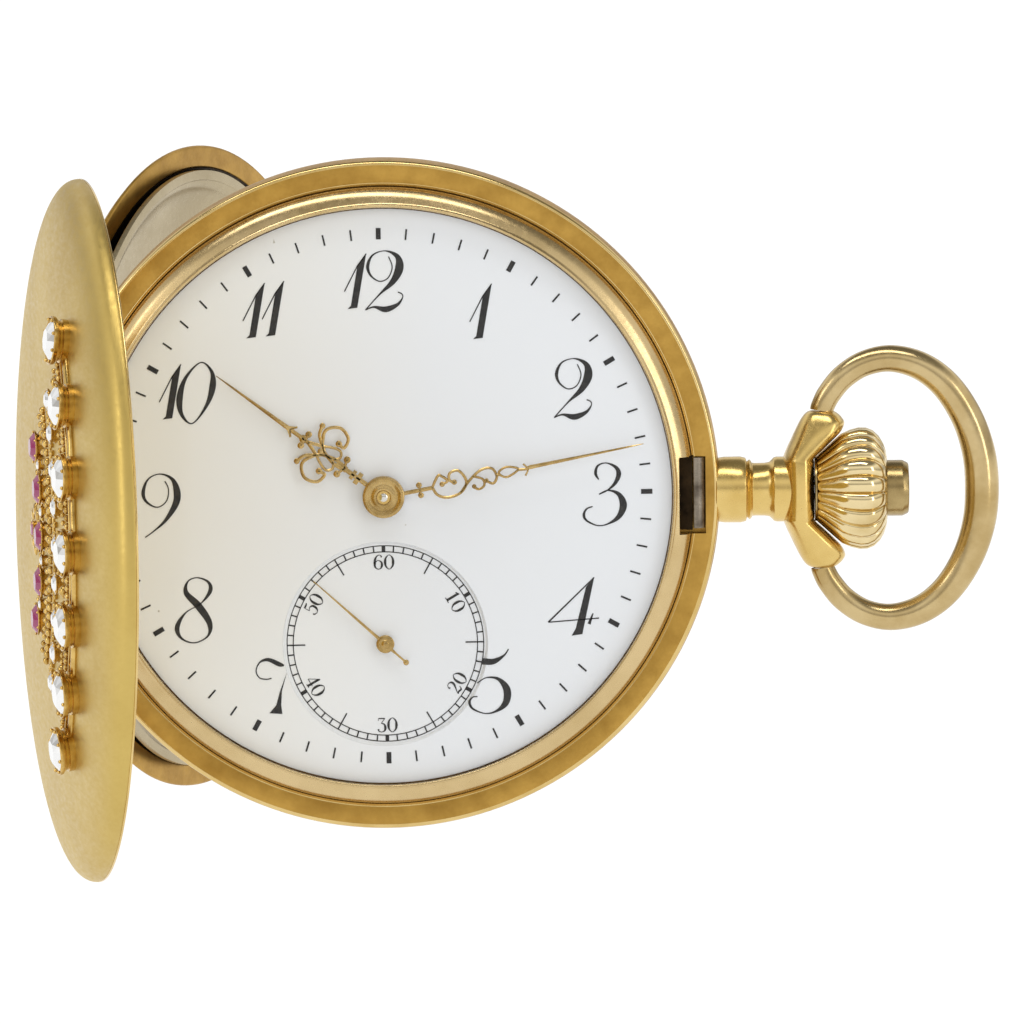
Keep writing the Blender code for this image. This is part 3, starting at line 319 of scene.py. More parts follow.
def finish_piece(name, shape, look, body, sharp=35.0, slot=None):
    """Turns a bmesh in millimetres into a piece that rides on a body."""
    bmesh.ops.remove_doubles(shape, verts=shape.verts, dist=1e-5)
    bmesh.ops.recalc_face_normals(shape, faces=shape.faces)
    mesh = metre_mesh(name, shape)
    mesh.shade_smooth()
    mesh.set_sharp_from_angle(angle=math.radians(sharp))
    mesh.materials.append(MATERIALS[look])
    piece = add_object(name, mesh)
    slot = slot or SLOTS[look]
    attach(piece, body)
    return piece


def circle(radius, count, centre=(0, 0), turn=0.0):
    """Points of a circle, the first one turned by a share of a step."""
    angles = [2 * math.pi * (k + turn) / count for k in range(count)]
    return [(centre[0] + radius * math.cos(a), centre[1] + radius * math.sin(a)) for a in angles]


def axis_matrix(axis, centre=(0, 0, 0)):
    turns = {"X": Matrix.Rotation(math.pi / 2, 4, "Y"), "Z": Matrix.Identity(4),
             "Y": Matrix.Rotation(-math.pi / 2, 4, "X")}
    return Matrix.Translation(Vector(centre)) @ turns[axis]


def join_rings(shape, ring, after):
    """Joins two rings by faces; a ring of one point becomes a tip."""
    count = max(len(ring), len(after))
    if count == 1:
        return
    for index in range(count):
        follow = (index + 1) % count
        if len(ring) == 1:
            shape.faces.new((ring[0], after[index], after[follow]))
        elif len(after) == 1:
            shape.faces.new((ring[index], after[0], ring[follow]))
        else:
            shape.faces.new((ring[index], after[index], after[follow], ring[follow]))


def loft(shape, rings, closed=False):
    """Skins a row of rings, and caps its ends unless the row closes on itself."""
    for ring, after in zip(rings, rings[1:] + (rings[:1] if closed else [])):
        join_rings(shape, ring, after)
    if not closed:
        shape.faces.new(rings[0])
        shape.faces.new(rings[-1])


def add_turned(shape, outline, matrix, segments, ribs=None):
    """Adds a closed outline of (radius, height) points, turned about local Z."""
    rings = []
    for radius, height in outline:
        if radius < 1e-6:
            rings.append([shape.verts.new(matrix @ Vector((0, 0, height)))])
            continue
        ring = []
        for index in range(segments):
            angle = 2 * math.pi * index / segments
            reach = ribs(radius, angle) if ribs else radius
            spot = Vector((reach * math.cos(angle), reach * math.sin(angle), height))
            ring.append(shape.verts.new(matrix @ spot))
        rings.append(ring)
    loft(shape, rings, closed=True)


def rounded(outline, radius=0.08, steps=3):
    """Replaces each marked corner (r, h, True) by a small arc, drawn as a curve through it."""
    result = []
    count = len(outline)
    for k, point in enumerate(outline):
        if len(point) < 3:
            result.append(point)
            continue
        here = Vector(point[:2])
        before = Vector(outline[k - 1][:2])
        after = Vector(outline[(k + 1) % count][:2])
        back = here + (before - here).normalized() * min(radius, (before - here).length * 0.45)
        ahead = here + (after - here).normalized() * min(radius, (after - here).length * 0.45)
        for step in range(steps + 1):
            t = step / steps
            spot = back * (1 - t) ** 2 + here * (2 * t * (1 - t)) + ahead * t ** 2
            result.append((spot.x, spot.y))
    return result


def turned(name, outline, look, body, axis="Y", centre=(0, 0, 0), segments=SMOOTH, ribs=None, corner=0.08,
           pose=Matrix.Identity(4), sharp=35.0):
    """A piece turned from one outline; pose swings it open."""
    shape = bmesh.new()
    add_turned(shape, rounded(outline, corner), pose @ axis_matrix(axis, centre), segments, ribs)
    return finish_piece(name, shape, look, body, sharp)


def swing(hinge, degrees):
    """The turn about a hinge parallel to Z that opens a cover drawn closed."""
    spot = Vector((hinge[0], hinge[1], 0))
    return Matrix.Translation(spot) @ Matrix.Rotation(math.radians(degrees), 4,
                                                      "Z") @ Matrix.Translation(-spot)


LID_POSE = swing(LID_HINGE, -LID_OPEN)
REAR_POSE = swing(REAR_HINGE, REAR_OPEN)
CUVETTE_POSE = swing(CUVETTE_HINGE, CUVETTE_OPEN)


def smooth_path(points, steps=8, closed=False):
    """A Catmull-Rom curve through points of any number of values."""
    count = len(points)
    result = []
    for k in range(count if closed else count - 1):
        near = range(k - 1, k + 3)
        four = [points[n % count if closed else min(max(n, 0), count - 1)] for n in near]
        for step in range(steps):
            t = step / steps
            result.append(tuple(0.5 * (2 * b + (c - a) * t + (2 * a - 5 * b + 4 * c - d) * t * t
                                       + (3 * b - a - 3 * c + d) * t ** 3) for a, b, c, d in zip(*four)))
    if not closed:
        result.append(tuple(points[-1]))
    return result


def add_ribbon(shape, path, low, high, place, closed=False, dome=0.0):
    """A flat stroke along (x, z, width) points, from y=low (front) to y=high."""
    rings = []
    count = len(path)
    for k, (x, z, width) in enumerate(path):
        before = path[k - 1] if (closed or k > 0) else path[k]
        after = path[(k + 1) % count] if (closed or k < count - 1) else path[k]
        run = Vector((after[0] - before[0], after[1] - before[1]))
        if run.length < 1e-9:
            run = Vector((1, 0))
        side = Vector((-run.y, run.x)).normalized() * width / 2
        profile = [(1.0, high), (1.0, low + dome), (0.45, low), (-0.45, low), (-1.0, low + dome),
                   (-1.0, high)]
        if dome <= 0:
            profile = [(1.0, high), (1.0, low), (-1.0, low), (-1.0, high)]
        rings.append([shape.verts.new(place(x + side.x * s, z + side.y * s, y)) for s, y in profile])
    loft(shape, rings, closed)


def add_polygon(shape, points, low, high, place):
    """A flat outline, thickened from low to high."""
    loft(shape, [[shape.verts.new(place(u, v, level)) for u, v in points] for level in (low, high)])


def add_ball(shape, centre, radius, segments=10):
    steps = max(4, segments // 2)
    angles = [math.pi * k / steps for k in range(1, steps)]
    outline = [(0, -radius), *((radius * math.sin(a), -radius * math.cos(a)) for a in angles), (0, radius)]
    add_turned(shape, outline, Matrix.Translation(Vector(centre)), segments)


# ---------------------------------------------------------------- case

def build_band():
    """Middle case: flat matte rims, a bulged side and the seat for the bezel."""
    outline = [(21.5, 3.8), (23.0, 3.8), (23.0, 2.98), (23.12, RIM_FRONT + 0.04, 1), (23.2, RIM_FRONT),
               (24.62, RIM_FRONT, 1), (24.8, 2.92, 1), (24.86, 3.15), (24.96, 3.9), (CASE_R, MID_Y),
               (24.96, 6.1), (24.86, 6.85), (24.8, 7.08, 1), (24.62, RIM_REAR, 1), (23.3, RIM_REAR, 1),
               (23.05, 6.95), (23.05, 6.6), (21.5, 6.6)]
    band = turned("middle_case", outline, "matte", "case", corner=0.06)
    notch = (20.9, 1.0, SLOT_LOW), (23.88, 4.0, SLOT_HIGH)
    cut_box(band, *notch)
    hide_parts("case_band")
    edge = [(24.55, RIM_FRONT - 0.01), (24.66, RIM_FRONT - 0.02), (24.82, 2.93), (24.88, 3.3), (24.8, 3.3),
            (24.55, 2.9)]
    turned("rim_outer_edge", edge, "polish", "case", sharp=60.0)
    edge = [(23.02, 2.95), (23.12, RIM_FRONT), (23.24, RIM_FRONT - 0.02), (23.26, 2.9), (23.1, 3.05)]
    line = turned("rim_inner_edge", edge, "polish", "case", sharp=60.0)
    cut_box(line, *notch)
    knuckles("case_front_knuckle", LID_HINGE, COVER_KNUCKLE, [(-2.0, 2.0)], "case", "matte")
    knuckles("case_rear_knuckle", REAR_HINGE, COVER_KNUCKLE, [(-2.0, 2.0)], "case", "matte")
    knuckles("case_cuvette_knuckle", CUVETTE_HINGE, CUVETTE_KNUCKLE, [(-1.5, 1.5)], "case", "polish")


def cut_box(piece, low, high):
    """Cuts a square notch into a piece, with the result kept as its mesh."""
    shape = bmesh.new()
    bmesh.ops.create_cube(shape, size=1.0)
    bmesh.ops.scale(shape, vec=Vector(high) - Vector(low), verts=shape.verts)
    bmesh.ops.translate(shape, vec=(Vector(high) + Vector(low)) / 2, verts=shape.verts)
    cutter = add_object("cutter", metre_mesh("cutter", shape))
    modifier = piece.modifiers.new("notch", "BOOLEAN")
    modifier.operation = "DIFFERENCE"
    modifier.object = cutter
    bpy.context.view_layer.update()
    graph = bpy.context.evaluated_depsgraph_get()
    cut = bpy.data.meshes.new_from_object(piece.evaluated_get(graph))
    piece.modifiers.clear()
    piece.data = cut
    bpy.data.objects.remove(cutter, do_unlink=True)


def knuckles(name, hinge, radius, ranges, body, look, pose=Matrix.Identity(4)):
    """Short tubes round a hinge pin, with rounded ends."""
    shape = bmesh.new()
    matrix = pose @ axis_matrix("Z", (hinge[0], hinge[1], 0))
    for low, high in ranges:
        outline = [(radius * 0.56, low), (radius, low, 1), (radius, high, 1), (radius * 0.56, high)]
        add_turned(shape, rounded(outline, 0.07), matrix, 32)
    return finish_piece(name, shape, look, body)


def build_bezel():
    """Polished inner bezel: a hollowed slope between a thin bright lip and a thin dark ring of painted
    shade.
    """
    outline = [(21.45, 1.62), (21.5, 1.45, 1), (21.66, 1.42, 1), (21.74, 1.56), (21.85, 1.62), (22.2, 1.76),
               (22.6, 2.02), (22.8, 2.3, 1), (22.86, 2.62, 1), (22.93, 2.7), (22.95, 3.6), (21.95, 3.6),
               (21.95, 2.2), (21.45, 2.2)]
    bezel = turned("bezel", outline, "bezel", "case", corner=0.05, sharp=50.0)
    cut_box(bezel, (21.9, 1.0, SLOT_LOW), (24.2, 4.2, SLOT_HIGH))
    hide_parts("bezel_ring")
    # a thin dark ring that paints the shade in the gap between the bezel and the rim
    groove_shade = [(22.97, 2.95), (22.97, 3.2), (22.995, 3.2), (22.995, 2.95)]
    turned("bezel_groove", groove_shade, "groove_shade", "case")
    rebate = [(21.36, 2.0), (21.43, 2.0), (21.43, 2.22), (21.36, 2.22)]
    turned("dial_shadow_ring", rebate, "groove_shade", "case")


def build_crystal():
    """A crystal that is flat in its middle and curves back to the bezel."""
    flat, bend, drop, thick = 15.0, 6.42, 1.45, 0.4
    radii = [flat + bend * k / 16 for k in range(17)]
    front = [(r, drop * ((r - flat) / bend) ** 2) for r in radii]
    back = [(r, y + thick) for r, y in reversed(front)]
    outline = [(0, 0)] + front + back + [(0, thick)]
    crystal = turned("watch_crystal", outline, "glass", "case")
    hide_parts("crystal")


def lid_point(share):
    """A point of the closed lid's outer surface: steep at the rim, then nearly flat."""
    return (share * LID_R, RIM_FRONT - 0.15 - LID_RISE * max(0.0, 1 - share ** 3) ** 0.4)


def build_lid():
    """The sprung lid: a satin dome with a bright edge and a snap lip inside."""
    shares = [0.9 * k / 30 for k in range(31)]
    shares += [0.9 + 0.099 * (1 - (1 - k / 14) ** 2) for k in range(1, 15)]
    outer = [lid_point(s) for s in shares] + [(LID_R, 2.5), (LID_R - 0.06, 2.62), (24.4, 2.6)]
    inner = [(s * LID_R, lid_point(s)[1] + SHELL) for s in reversed(shares[:31])]
    outline = outer + [(23.4, 2.3), (22.9, 1.3)] + inner
    shell = turned("lid_shell", outline, "satin", "front_cover", pose=LID_POSE, sharp=50.0)
    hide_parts("front_cover")
    edge = [(24.4, 2.55), (25.0, 2.57), (LID_R + 0.02, 2.6, 1), (LID_R, 2.74, 1), (24.8, 2.775),
            (23.95, 2.775, 1), (23.5, 2.5), (23.3, 2.0), (23.7, 2.2)]
    turned("lid_edge", edge, "polish", "front_cover", pose=LID_POSE, corner=0.04)
    knuckles("lid_knuckles", LID_HINGE, COVER_KNUCKLE, COVER_ENDS, "front_cover", "satin", LID_POSE)
    build_lid_jewels()


def lid_frame(x, z, lift=0.0):
    """A place on the closed lid's face, with local Z out of its surface, then swung open."""
    radius = max(math.hypot(x, z), 0.001)
    share = radius / LID_R
    slope = LID_RISE * 0.4 * (1 - share ** 3) ** -0.6 * 3 * share ** 2 / LID_R
    out = Vector((x / radius, 0, z / radius))
    normal = (Vector((0, -1, 0)) + out * slope).normalized()
    side = normal.cross(Vector((0, 0, 1))).normalized()
    up = side.cross(normal)
    matrix = Matrix((side, -up, normal)).transposed()
    if matrix.determinant() < 0:        # keeps the frame right-handed
        matrix = Matrix((side, up, normal)).transposed()
    spot = Vector((x, lid_point(share)[1], z)) + normal * lift
    return LID_POSE @ Matrix.Translation(spot) @ matrix.to_4x4()


def on_arc(radius, degrees, lift=0.0):
    """A frame on an arc of the crescent."""
    angle = math.radians(degrees)
    return lid_frame(JEWEL_CENTRE_X + radius * math.cos(angle), radius * math.sin(angle), lift)


def add_stone(shape, matrix, radius, table=0.56, crown=0.34, depth=0.62, sides=8):
    """A brilliant-cut stone: table, star and main facets, girdle and pavilion."""
    def ring(share, height, count, turn):
        points = circle(radius * share, count, turn=turn)
        return [shape.verts.new(matrix @ Vector((u, v, radius * height))) for u, v in points]
    top = ring(table, crown, sides, 0.0)
    middle = ring(0.80, crown * 0.52, sides, 0.5)
    girdle = ring(1.0, 0.05, sides * 2, 0.0)
    under = ring(1.0, -0.03, sides * 2, 0.0)
    point = shape.verts.new(matrix @ Vector((0, 0, -radius * depth)))
    shape.faces.new(top)
    for k in range(sides):
        after = (k + 1) % sides
        shape.faces.new((top[k], middle[k], top[after]))
        shape.faces.new((top[k], girdle[2 * k], middle[k]))
        shape.faces.new((middle[k], girdle[2 * k], girdle[2 * k + 1]))
        shape.faces.new((middle[k], girdle[2 * k + 1], girdle[2 * after]))
        shape.faces.new((middle[k], girdle[2 * after], top[after]))
    for k in range(2 * sides):
        after = (k + 1) % (2 * sides)
        shape.faces.new((girdle[k], under[k], under[after], girdle[after]))
        shape.faces.new((under[k], point, under[after]))


def add_collet(shape, matrix, radius, height, claws):
    """A flared cup with a bright lip, and claws over the stone's edge."""
    cup = [(0.9, 0.35), (0.82, 0.42), (0.84, 0.55), (0.98, 0.72), (1, 0.96, 1), (0.93, 1, 1), (0.84, 0.9),
           (0.6, 0.3)]
    outline = [(radius * 0.55, -0.55), (radius * 0.86, -0.55)]
    outline += [(radius * share, height * level, *mark) for share, level, *mark in cup]
    add_turned(shape, rounded(outline, 0.04), matrix, 28)
    for u, v in circle(radius * 0.9, claws, turn=0.5):
        add_ball(shape, matrix @ Vector((u, v, height * 1.02)), radius * 0.085, 8)


def build_lid_jewels():
    """A crescent: seven tall collets with diamonds, small stones and grains, and an inner arc of rubies."""
    cups, diamonds, rubies, grains = bmesh.new(), bmesh.new(), bmesh.new(), bmesh.new()

    def raised(matrix, lift):
        return matrix @ Matrix.Translation((0, 0, lift))

    for k in range(-3, 4):
        matrix = on_arc(22.0, 13.6 * k)
        add_collet(cups, matrix, 1.72, 1.15, 8)
        add_stone(diamonds, raised(matrix, 0.98), 1.45)
    for k in range(-4, 5):
        matrix = on_arc(16.4, 9.4 * k)
        add_collet(cups, matrix, 0.8, 0.5, 4)
        add_stone(diamonds, raised(matrix, 0.45), 0.66)
        add_ball(grains, on_arc(18.6, 9.4 * k, 0.2).translation, 0.4, 12)
    for k in range(-2, 3):
        matrix = on_arc(9.0, 21.5 * k)
        add_collet(cups, matrix, 1.2, 0.5, 6)
        add_stone(rubies, raised(matrix, 0.42), 1.05, 0.6, 0.36)
        if k < 2:
            between = on_arc(9.3, 21.5 * (k + 0.5))
            add_collet(cups, between, 0.45, 0.4, 4)
            add_stone(diamonds, raised(between, 0.36), 0.36)
    for radius, count, half_span, size in ((10.9, 25, 50, 0.24), (12.6, 29, 45, 0.3), (14.6, 35, 43, 0.24),
                                           (18.0, 47, 42, 0.2), (19.7, 55, 43, 0.26), (7.3, 17, 48, 0.22)):
        for k in range(count):
            angle = half_span * (2 * k / (count - 1) - 1)
            add_ball(grains, on_arc(radius, angle, size * 0.5).translation, size)
    middle = lid_frame(ORNAMENT_X, 0.0)
    add_collet(cups, middle, 0.7, 0.3, 4)
    add_stone(rubies, raised(middle, 0.26), 0.55, 0.6, 0.2)
    for x, z in circle(1.45, 8, (ORNAMENT_X, 0)):
        petal = bmesh.ops.create_icosphere(grains, subdivisions=2, radius=0.5)["verts"]
        flattened = lid_frame(x, z, 0.03) @ Matrix.Diagonal((0.9, 0.9, 0.35, 1))
        bmesh.ops.transform(grains, matrix=flattened, verts=petal)
    setting = finish_piece("collets", cups, "setting", "front_cover")
    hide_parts("collet_ring", "ruby_ring", "center_ornament")
    finish_piece("gold_grains", grains, "setting", "front_cover", 60)
    finish_piece("diamonds", diamonds, "diamond", "front_cover", 3)
    finish_piece("rubies", rubies, "ruby", "front_cover", 3)
    build_lid_wires()


def build_lid_wires():
    """Raised gold wires that follow the crescent's arcs."""
    shape = bmesh.new()
    steps = 60
    for radius, wire, half_span in ((21.9, 0.3, 40), (20.4, 0.13, 44), (13.6, 0.12, 44), (7.9, 0.1, 52)):
        rings = []
        for k in range(steps + 1):
            angle = half_span * (2 * k / steps - 1)
            here = on_arc(radius, angle, 0.06)
            turn = Matrix.Rotation(math.radians(angle), 3, "Y")
            across = LID_POSE.to_3x3() @ (turn.inverted() @ Vector((1, 0, 0)))
            out = here.to_3x3() @ Vector((0, 0, 1))
            rings.append([shape.verts.new(here.translation + (across * u + out * v) * wire)
                          for u, v in circle(1.0, 8)])
        loft(shape, rings)
    finish_piece("lid_wires", shape, "setting", "front_cover", 60)


def build_rear_cover():
    """Rear cover: a full dome with the flat matte ring that closes on the rim."""
    rim = RIM_REAR + 0.05
    shares = [k / 36 for k in range(36)] + [0.985]
    outer = [(s * REAR_R, rim + 0.3 + REAR_RISE * (1 - max(s, 0.2) ** 5)) for s in shares]
    side = [(r, y - SHELL) for r, y in outer if 17.0 < r < 22.4]
    edge = [(REAR_R, rim + 0.24), (REAR_R, rim + 0.1, 1), (REAR_R - 0.12, rim, 1)]
    lip = [(23.1, rim, 1), (22.95, rim + 0.25), (22.8, 8.3)]
    inner = [(r, y - SHELL) for r, y in reversed(outer) if r < 22.4]
    cover = turned("rear_shell", outer + edge + lip + inner, "matte", "rear_cover", pose=REAR_POSE)
    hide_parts("rear_cover")
    # a near-black sheet inside the lip paints the shade in the gap between the rear cover and the cuvette
    shade_outline = [(r, y - 0.02) for r, y in side]
    shade_outline += [(22.76, 8.26), (22.9, rim + 0.3), (23.0, rim + 0.06), (22.86, rim + 0.1), (22.7, 8.1)]
    shade_outline += [(r, y - 0.06) for r, y in reversed(side)]
    turned("rear_lining", shade_outline, "slot", "rear_cover", pose=REAR_POSE)
    knuckles("rear_knuckles", REAR_HINGE, COVER_KNUCKLE, COVER_ENDS, "rear_cover", "matte", REAR_POSE)


def build_cuvette():
    """Dust cover: thin, polished, with a raised band round its rim."""
    outline = [(22.9, 6.65), (22.9, 7.1, 1), (22.25, 7.16, 1), (21.95, 7.5), (21.5, 8.05), (20.6, 8.42),
               (18.0, 8.64), (12.0, 8.8), (6.0, 8.84), (0, 8.85), (0, 8.5), (6.0, 8.48), (12.0, 8.44),
               (17.6, 8.28), (19.9, 8.1), (21.0, 7.75), (21.5, 7.2), (21.75, 6.85), (22.1, 6.78, 1),
               (22.2, 6.62, 1)]
    cover = turned("dust_cover", outline, "inner", "cuvette", pose=CUVETTE_POSE, sharp=60)
    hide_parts("cuvette")
    knuckles("cuvette_knuckles", CUVETTE_HINGE, CUVETTE_KNUCKLE, [(1.56, 3.1), (-3.1, -1.56)], "cuvette",
             "polish", CUVETTE_POSE)


# ---------------------------------------------------------------- pendant, crown and bow

def build_neck():
    outline = [(0.95, 24.7), (2.36, 24.7), (2.45, 25.3), (2.46, 26.5), (2.36, 26.9, 1), (2.06, 27.0, 1),
               (2.14, 27.06), (2.24, 27.18), (2.14, 27.3), (1.98, 27.38, 1), (1.96, 27.6), (1.97, 28.3),
               (2.03, 28.66), (2.22, 28.86), (2.36, 28.98, 1), (2.42, 29.2), (2.42, 30.9), (0.95, 30.9)]
    neck = turned("pendant_tube", outline, "yoke", "case", "X", CROWN_LINE, 96, corner=0.05)
    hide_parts("pendant_neck")


def build_yoke():
    """The pendant's rounded head: a loft along Z that holds the bow's ends and clears the crown."""
    edge = [(0.0, 29.72, 32.0, 2.8), (1.0, 29.7, 32.0, 2.79), (2.0, 29.68, 32.0, 2.72),
            (2.35, 29.7, 32.02, 2.66), (3.0, 29.95, 32.72, 2.5), (3.7, 30.28, 33.45, 2.3),
            (4.3, 30.56, 34.02, 2.1), (4.9, 30.86, 34.28, 1.85), (5.3, 31.1, 34.1, 1.62),
            (5.6, 31.34, 33.8, 1.38), (5.78, 31.6, 33.5, 1.12), (5.82, 31.8, 33.35, 0.98)]
    levels = [(-z, *rest) for z, *rest in reversed(edge)] + edge[1:]
    shape = bmesh.new()
    rings = []
    for z, left, right, thick in smooth_path(levels, 4):
        centre, half = (left + right) / 2, (right - left) / 2
        ring = []
        for across, deep in circle(1.0, 48):
            x = centre + half * math.copysign(abs(across) ** (0.6 if across > 0 else 0.9), across)
            y = MID_Y + thick * math.copysign(abs(deep) ** 0.9, deep)
            ring.append(shape.verts.new((x, y, z)))
        rings.append(ring)
    loft(shape, rings)
    yoke = finish_piece("pendant_head", shape, "yoke", "case", 50)
    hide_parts("bow_yoke")


def build_bow():
    """The oval bow: a wire that thickens towards its far side."""
    half = [(32.6, 5.86, 0.88), (32.68, 6.15, 0.88), (33.15, 7.05, 0.9), (34.2, 8.3, 0.92),
            (35.8, 9.3, 0.95), (37.8, 9.65, 1.0), (40.0, 9.05, 1.06), (41.9, 7.55, 1.12), (43.4, 5.2, 1.18),
            (44.25, 2.6, 1.24), (44.48, 0.0, 1.27)]
    route = half + [(x, -z, w) for x, z, w in reversed(half[:-1])]
    path = smooth_path(route, 10)
    shape = bmesh.new()
    rings = []
    for k, (x, z, wire) in enumerate(path):
        before, after = path[max(k - 1, 0)], path[min(k + 1, len(path) - 1)]
        run = Vector((after[0] - before[0], 0, after[1] - before[1])).normalized()
        side = run.cross(Vector((0, 1, 0)))
        rings.append([shape.verts.new(Vector((x, MID_Y, z)) + side * u + Vector((0, v, 0)))
                      for u, v in circle(wire, 32)])
    loft(shape, rings)
    bow = finish_piece("bow_ring", shape, "bow", "bow", 60)
    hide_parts("bow")


def crown_ribs(radius, angle):
    """Twenty rounded ribs with sharp grooves, deepest round the middle; the bore stays round."""
    if radius < 2.15:
        return radius
    across = 2 * ((20 * angle / (2 * math.pi)) % 1.0) - 1
    lobe = math.sqrt(max(0.0, 1 - across ** 2))
    return radius - 0.44 * (radius / 4.5) * (1 - lobe)


def build_crown():
    dome = [(2.34, CROWN_START), (2.54, 32.31), (2.98, 32.8), (3.53, 33.4), (4.07, 34.02), (4.38, 34.7),
            (4.54, 35.35), (4.52, 35.9), (4.32, 36.4), (3.9, 36.85), (3.4, 37.15), (2.9, 37.33),
            (2.45, CROWN_END), (2.18, CROWN_END - 0.1)]
    outline = [(0.64, CROWN_START)] + dome + [(2.13, 35.4), (0.64, 35.4)]
    crown = turned("winding_crown", outline, "crown", "crown", "X", CROWN_LINE, 400, crown_ribs, sharp=70.0)
    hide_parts("crown")
    sleeve = [(0.98, 32.03), (2.4, 32.03), (2.4, CROWN_START + 0.05), (0.98, CROWN_START + 0.05)]
    turned("crown_sleeve", sleeve, "button", "crown", "X", CROWN_LINE, 48)
    outline = [(0, 36.45), (2.08, 36.45), (2.08, 38.55, 1), (1.88, BUTTON_END - 0.05, 1), (1.8, BUTTON_END),
               (0, BUTTON_END)]
    button = turned("push_button", outline, "button", "release_button", "X", CROWN_LINE, 72)
    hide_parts("release_button")


def build_latch():
    """The catch in its slot: a bright rolled nose over a blade coloured near black as painted shade."""
    nose = [(22.95, 2.5), (23.2, 2.4), (23.5, 2.5), (23.75, 2.75), (23.82, 3.0), (23.7, 3.2), (23.45, 3.25),
            (23.1, 3.1)]
    blade = [(21.97, 2.75), (22.9, 2.65), (22.9, 3.95), (21.97, 3.95)]

    def upright(x, y, z):
        return Vector((x, y, z))

    shape = bmesh.new()
    add_polygon(shape, smooth_path(nose, 4, True), -2.62, 2.62, upright)
    latch = finish_piece("latch_nose", shape, "catch", "latch_spring")
    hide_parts("latch_spring")
    # the blade's near-black colour is painted shade in the slot
    shape = bmesh.new()
    add_polygon(shape, blade, -2.75, 2.75, upright)
    finish_piece("latch_slot_floor", shape, "slot", "latch_spring", slot="steel")


# ---------------------------------------------------------------- dial and numerals

GLYPHS = {
    "1": {"polygons": [[(0.81, 2.04), (0.07, -1.95), (-0.64, -2.03), (-0.40, -1.8), (0.14, 1.15)]],
          "lines": [[(0.81, 2.04, 0.06), (0.14, 1.15, 0.06), (-0.86, -0.74, 0.06)]]},
    "2": {"strokes": [[(0.36, 1.81, 0.05), (0.61, 1.03, 0.06), (0.29, 0.24, 0.06), (-0.36, 0, 0.06),
                       (-1.0, 0.46, 0.12), (-1.19, 1.17, 0.2), (-0.79, 1.96, 0.1), (0.14, 2.24, 0.06),
                       (1.0, 1.81, 0.3), (1.14, 0.96, 0.52), (0.64, -0.04, 0.35), (-0.36, -0.97, 0.1),
                       (-1.43, -2.11, 0.05)],
                      [(-1.43, -2.11, 0.05), (-0.79, -1.9, 0.12), (0.07, -2.09, 0.36), (0.93, -1.76, 0.2),
                       (1.33, -1.26, 0.06), (1.29, -0.97, 0.05), (1.0, -0.83, 0.04)]]},
    "3": {"strokes": [[(-0.39, 1.1, 0.05), (-0.61, 1.56, 0.18), (-0.44, 2.12, 0.12), (0.18, 2.32, 0.07),
                       (0.88, 2.0, 0.2), (1.1, 1.47, 0.3), (0.79, 0.77, 0.2), (0.18, 0.25, 0.07),
                       (-0.39, 0, 0.05)],
                      [(-0.39, 0, 0.05), (0.26, 0.28, 0.06), (1.05, 0, 0.25), (1.4, -0.81, 0.45),
                       (1.05, -1.68, 0.3), (0.26, -2.2, 0.1), (-0.53, -2.32, 0.07), (-1.32, -1.95, 0.12),
                       (-1.54, -1.5, 0.16), (-1.32, -1.07, 0.1), (-0.88, -0.9, 0.05)]]},
    "4": {"polygons": [[(1.53, 2.14), (0.58, -2.07), (-0.21, -2.17), (0.1, -1.63), (0.91, 1.44)]],
          "lines": [[(1.53, 2.14, 0.05), (-1.93, -1.14, 0.1)], [(-1.93, -1.14, 0.07), (1.84, -0.9, 0.06)],
                    [(1.4, -0.53, 0.05), (1.09, -1.33, 0.2)]]},
    "5": {"strokes": [[(-0.75, 1.53, 0.4), (0.09, 1.5, 0.35), (0.88, 1.93, 0.12), (1.23, 2.4, 0.04)],
                      [(-1.14, -0.09, 0.05), (-0.44, 0.3, 0.07), (0.44, 0.18, 0.2), (1.05, -0.6, 0.45),
                       (0.96, -1.58, 0.4), (0.26, -2.2, 0.15), (-0.6, -2.37, 0.07), (-1.5, -2.0, 0.12),
                       (-1.74, -1.5, 0.16), (-1.5, -1.14, 0.08), (-1.14, -1.1, 0.05)]]},
    "7": {"strokes": [[(0.9, 1.5, 0.1), (0.53, 1.6, 0.28), (-0.26, 1.95, 0.22), (-0.88, 1.77, 0.1),
                       (-1.18, 1.16, 0.07), (-0.96, 0.63, 0.06), (-0.44, 0.49, 0.05), (-0.05, 0.56, 0.04)]],
          "polygons": [[(1.09, 0.95), (0.7, -0.42), (0.63, -1.47), (0.7, -2.12), (-0.26, -2.05),
                        (0.26, -1.47), (0.56, -0.42)]]},
    "8": {"loops": [[(-0.54, 1.35, 0.3), (0.35, 0.35, 0.45), (1.14, -0.93, 0.35), (1.0, -1.9, 0.12),
                     (0, -2.39, 0.06), (-0.96, -2.04, 0.14), (-1.26, -1.2, 0.3), (-0.61, -0.14, 0.09),
                     (0.53, 0.53, 0.07), (1.25, 1.47, 0.25), (1.1, 2.14, 0.15), (0.3, 2.46, 0.06),
                     (-0.4, 2.18, 0.1)]]},
    "9": {"strokes": [[(0.32, 1.81, 0.05), (0.58, 1.19, 0.07), (0.4, 0.32, 0.07), (-0.3, -0.12, 0.06),
                       (-1.09, 0.32, 0.15), (-1.3, 1.02, 0.22), (-0.91, 1.98, 0.1), (-0.04, 2.35, 0.06),
                       (0.84, 1.98, 0.2), (1.19, 1.1, 0.42), (1.1, 0.14, 0.4), (0.32, -1.09, 0.2),
                       (-0.56, -1.88, 0.08), (-1.23, -2.35, 0.04)]]},
    "0": {"loops": [[(0.39, 2.26, 0.05), (1.18, 1.58, 0.2), (1.23, 0.44, 0.4), (0.74, -0.96, 0.2),
                     (-0.32, -2.25, 0.05), (-1.1, -1.58, 0.22), (-1.23, -0.35, 0.4), (-0.75, 1.14, 0.2)]]},
}
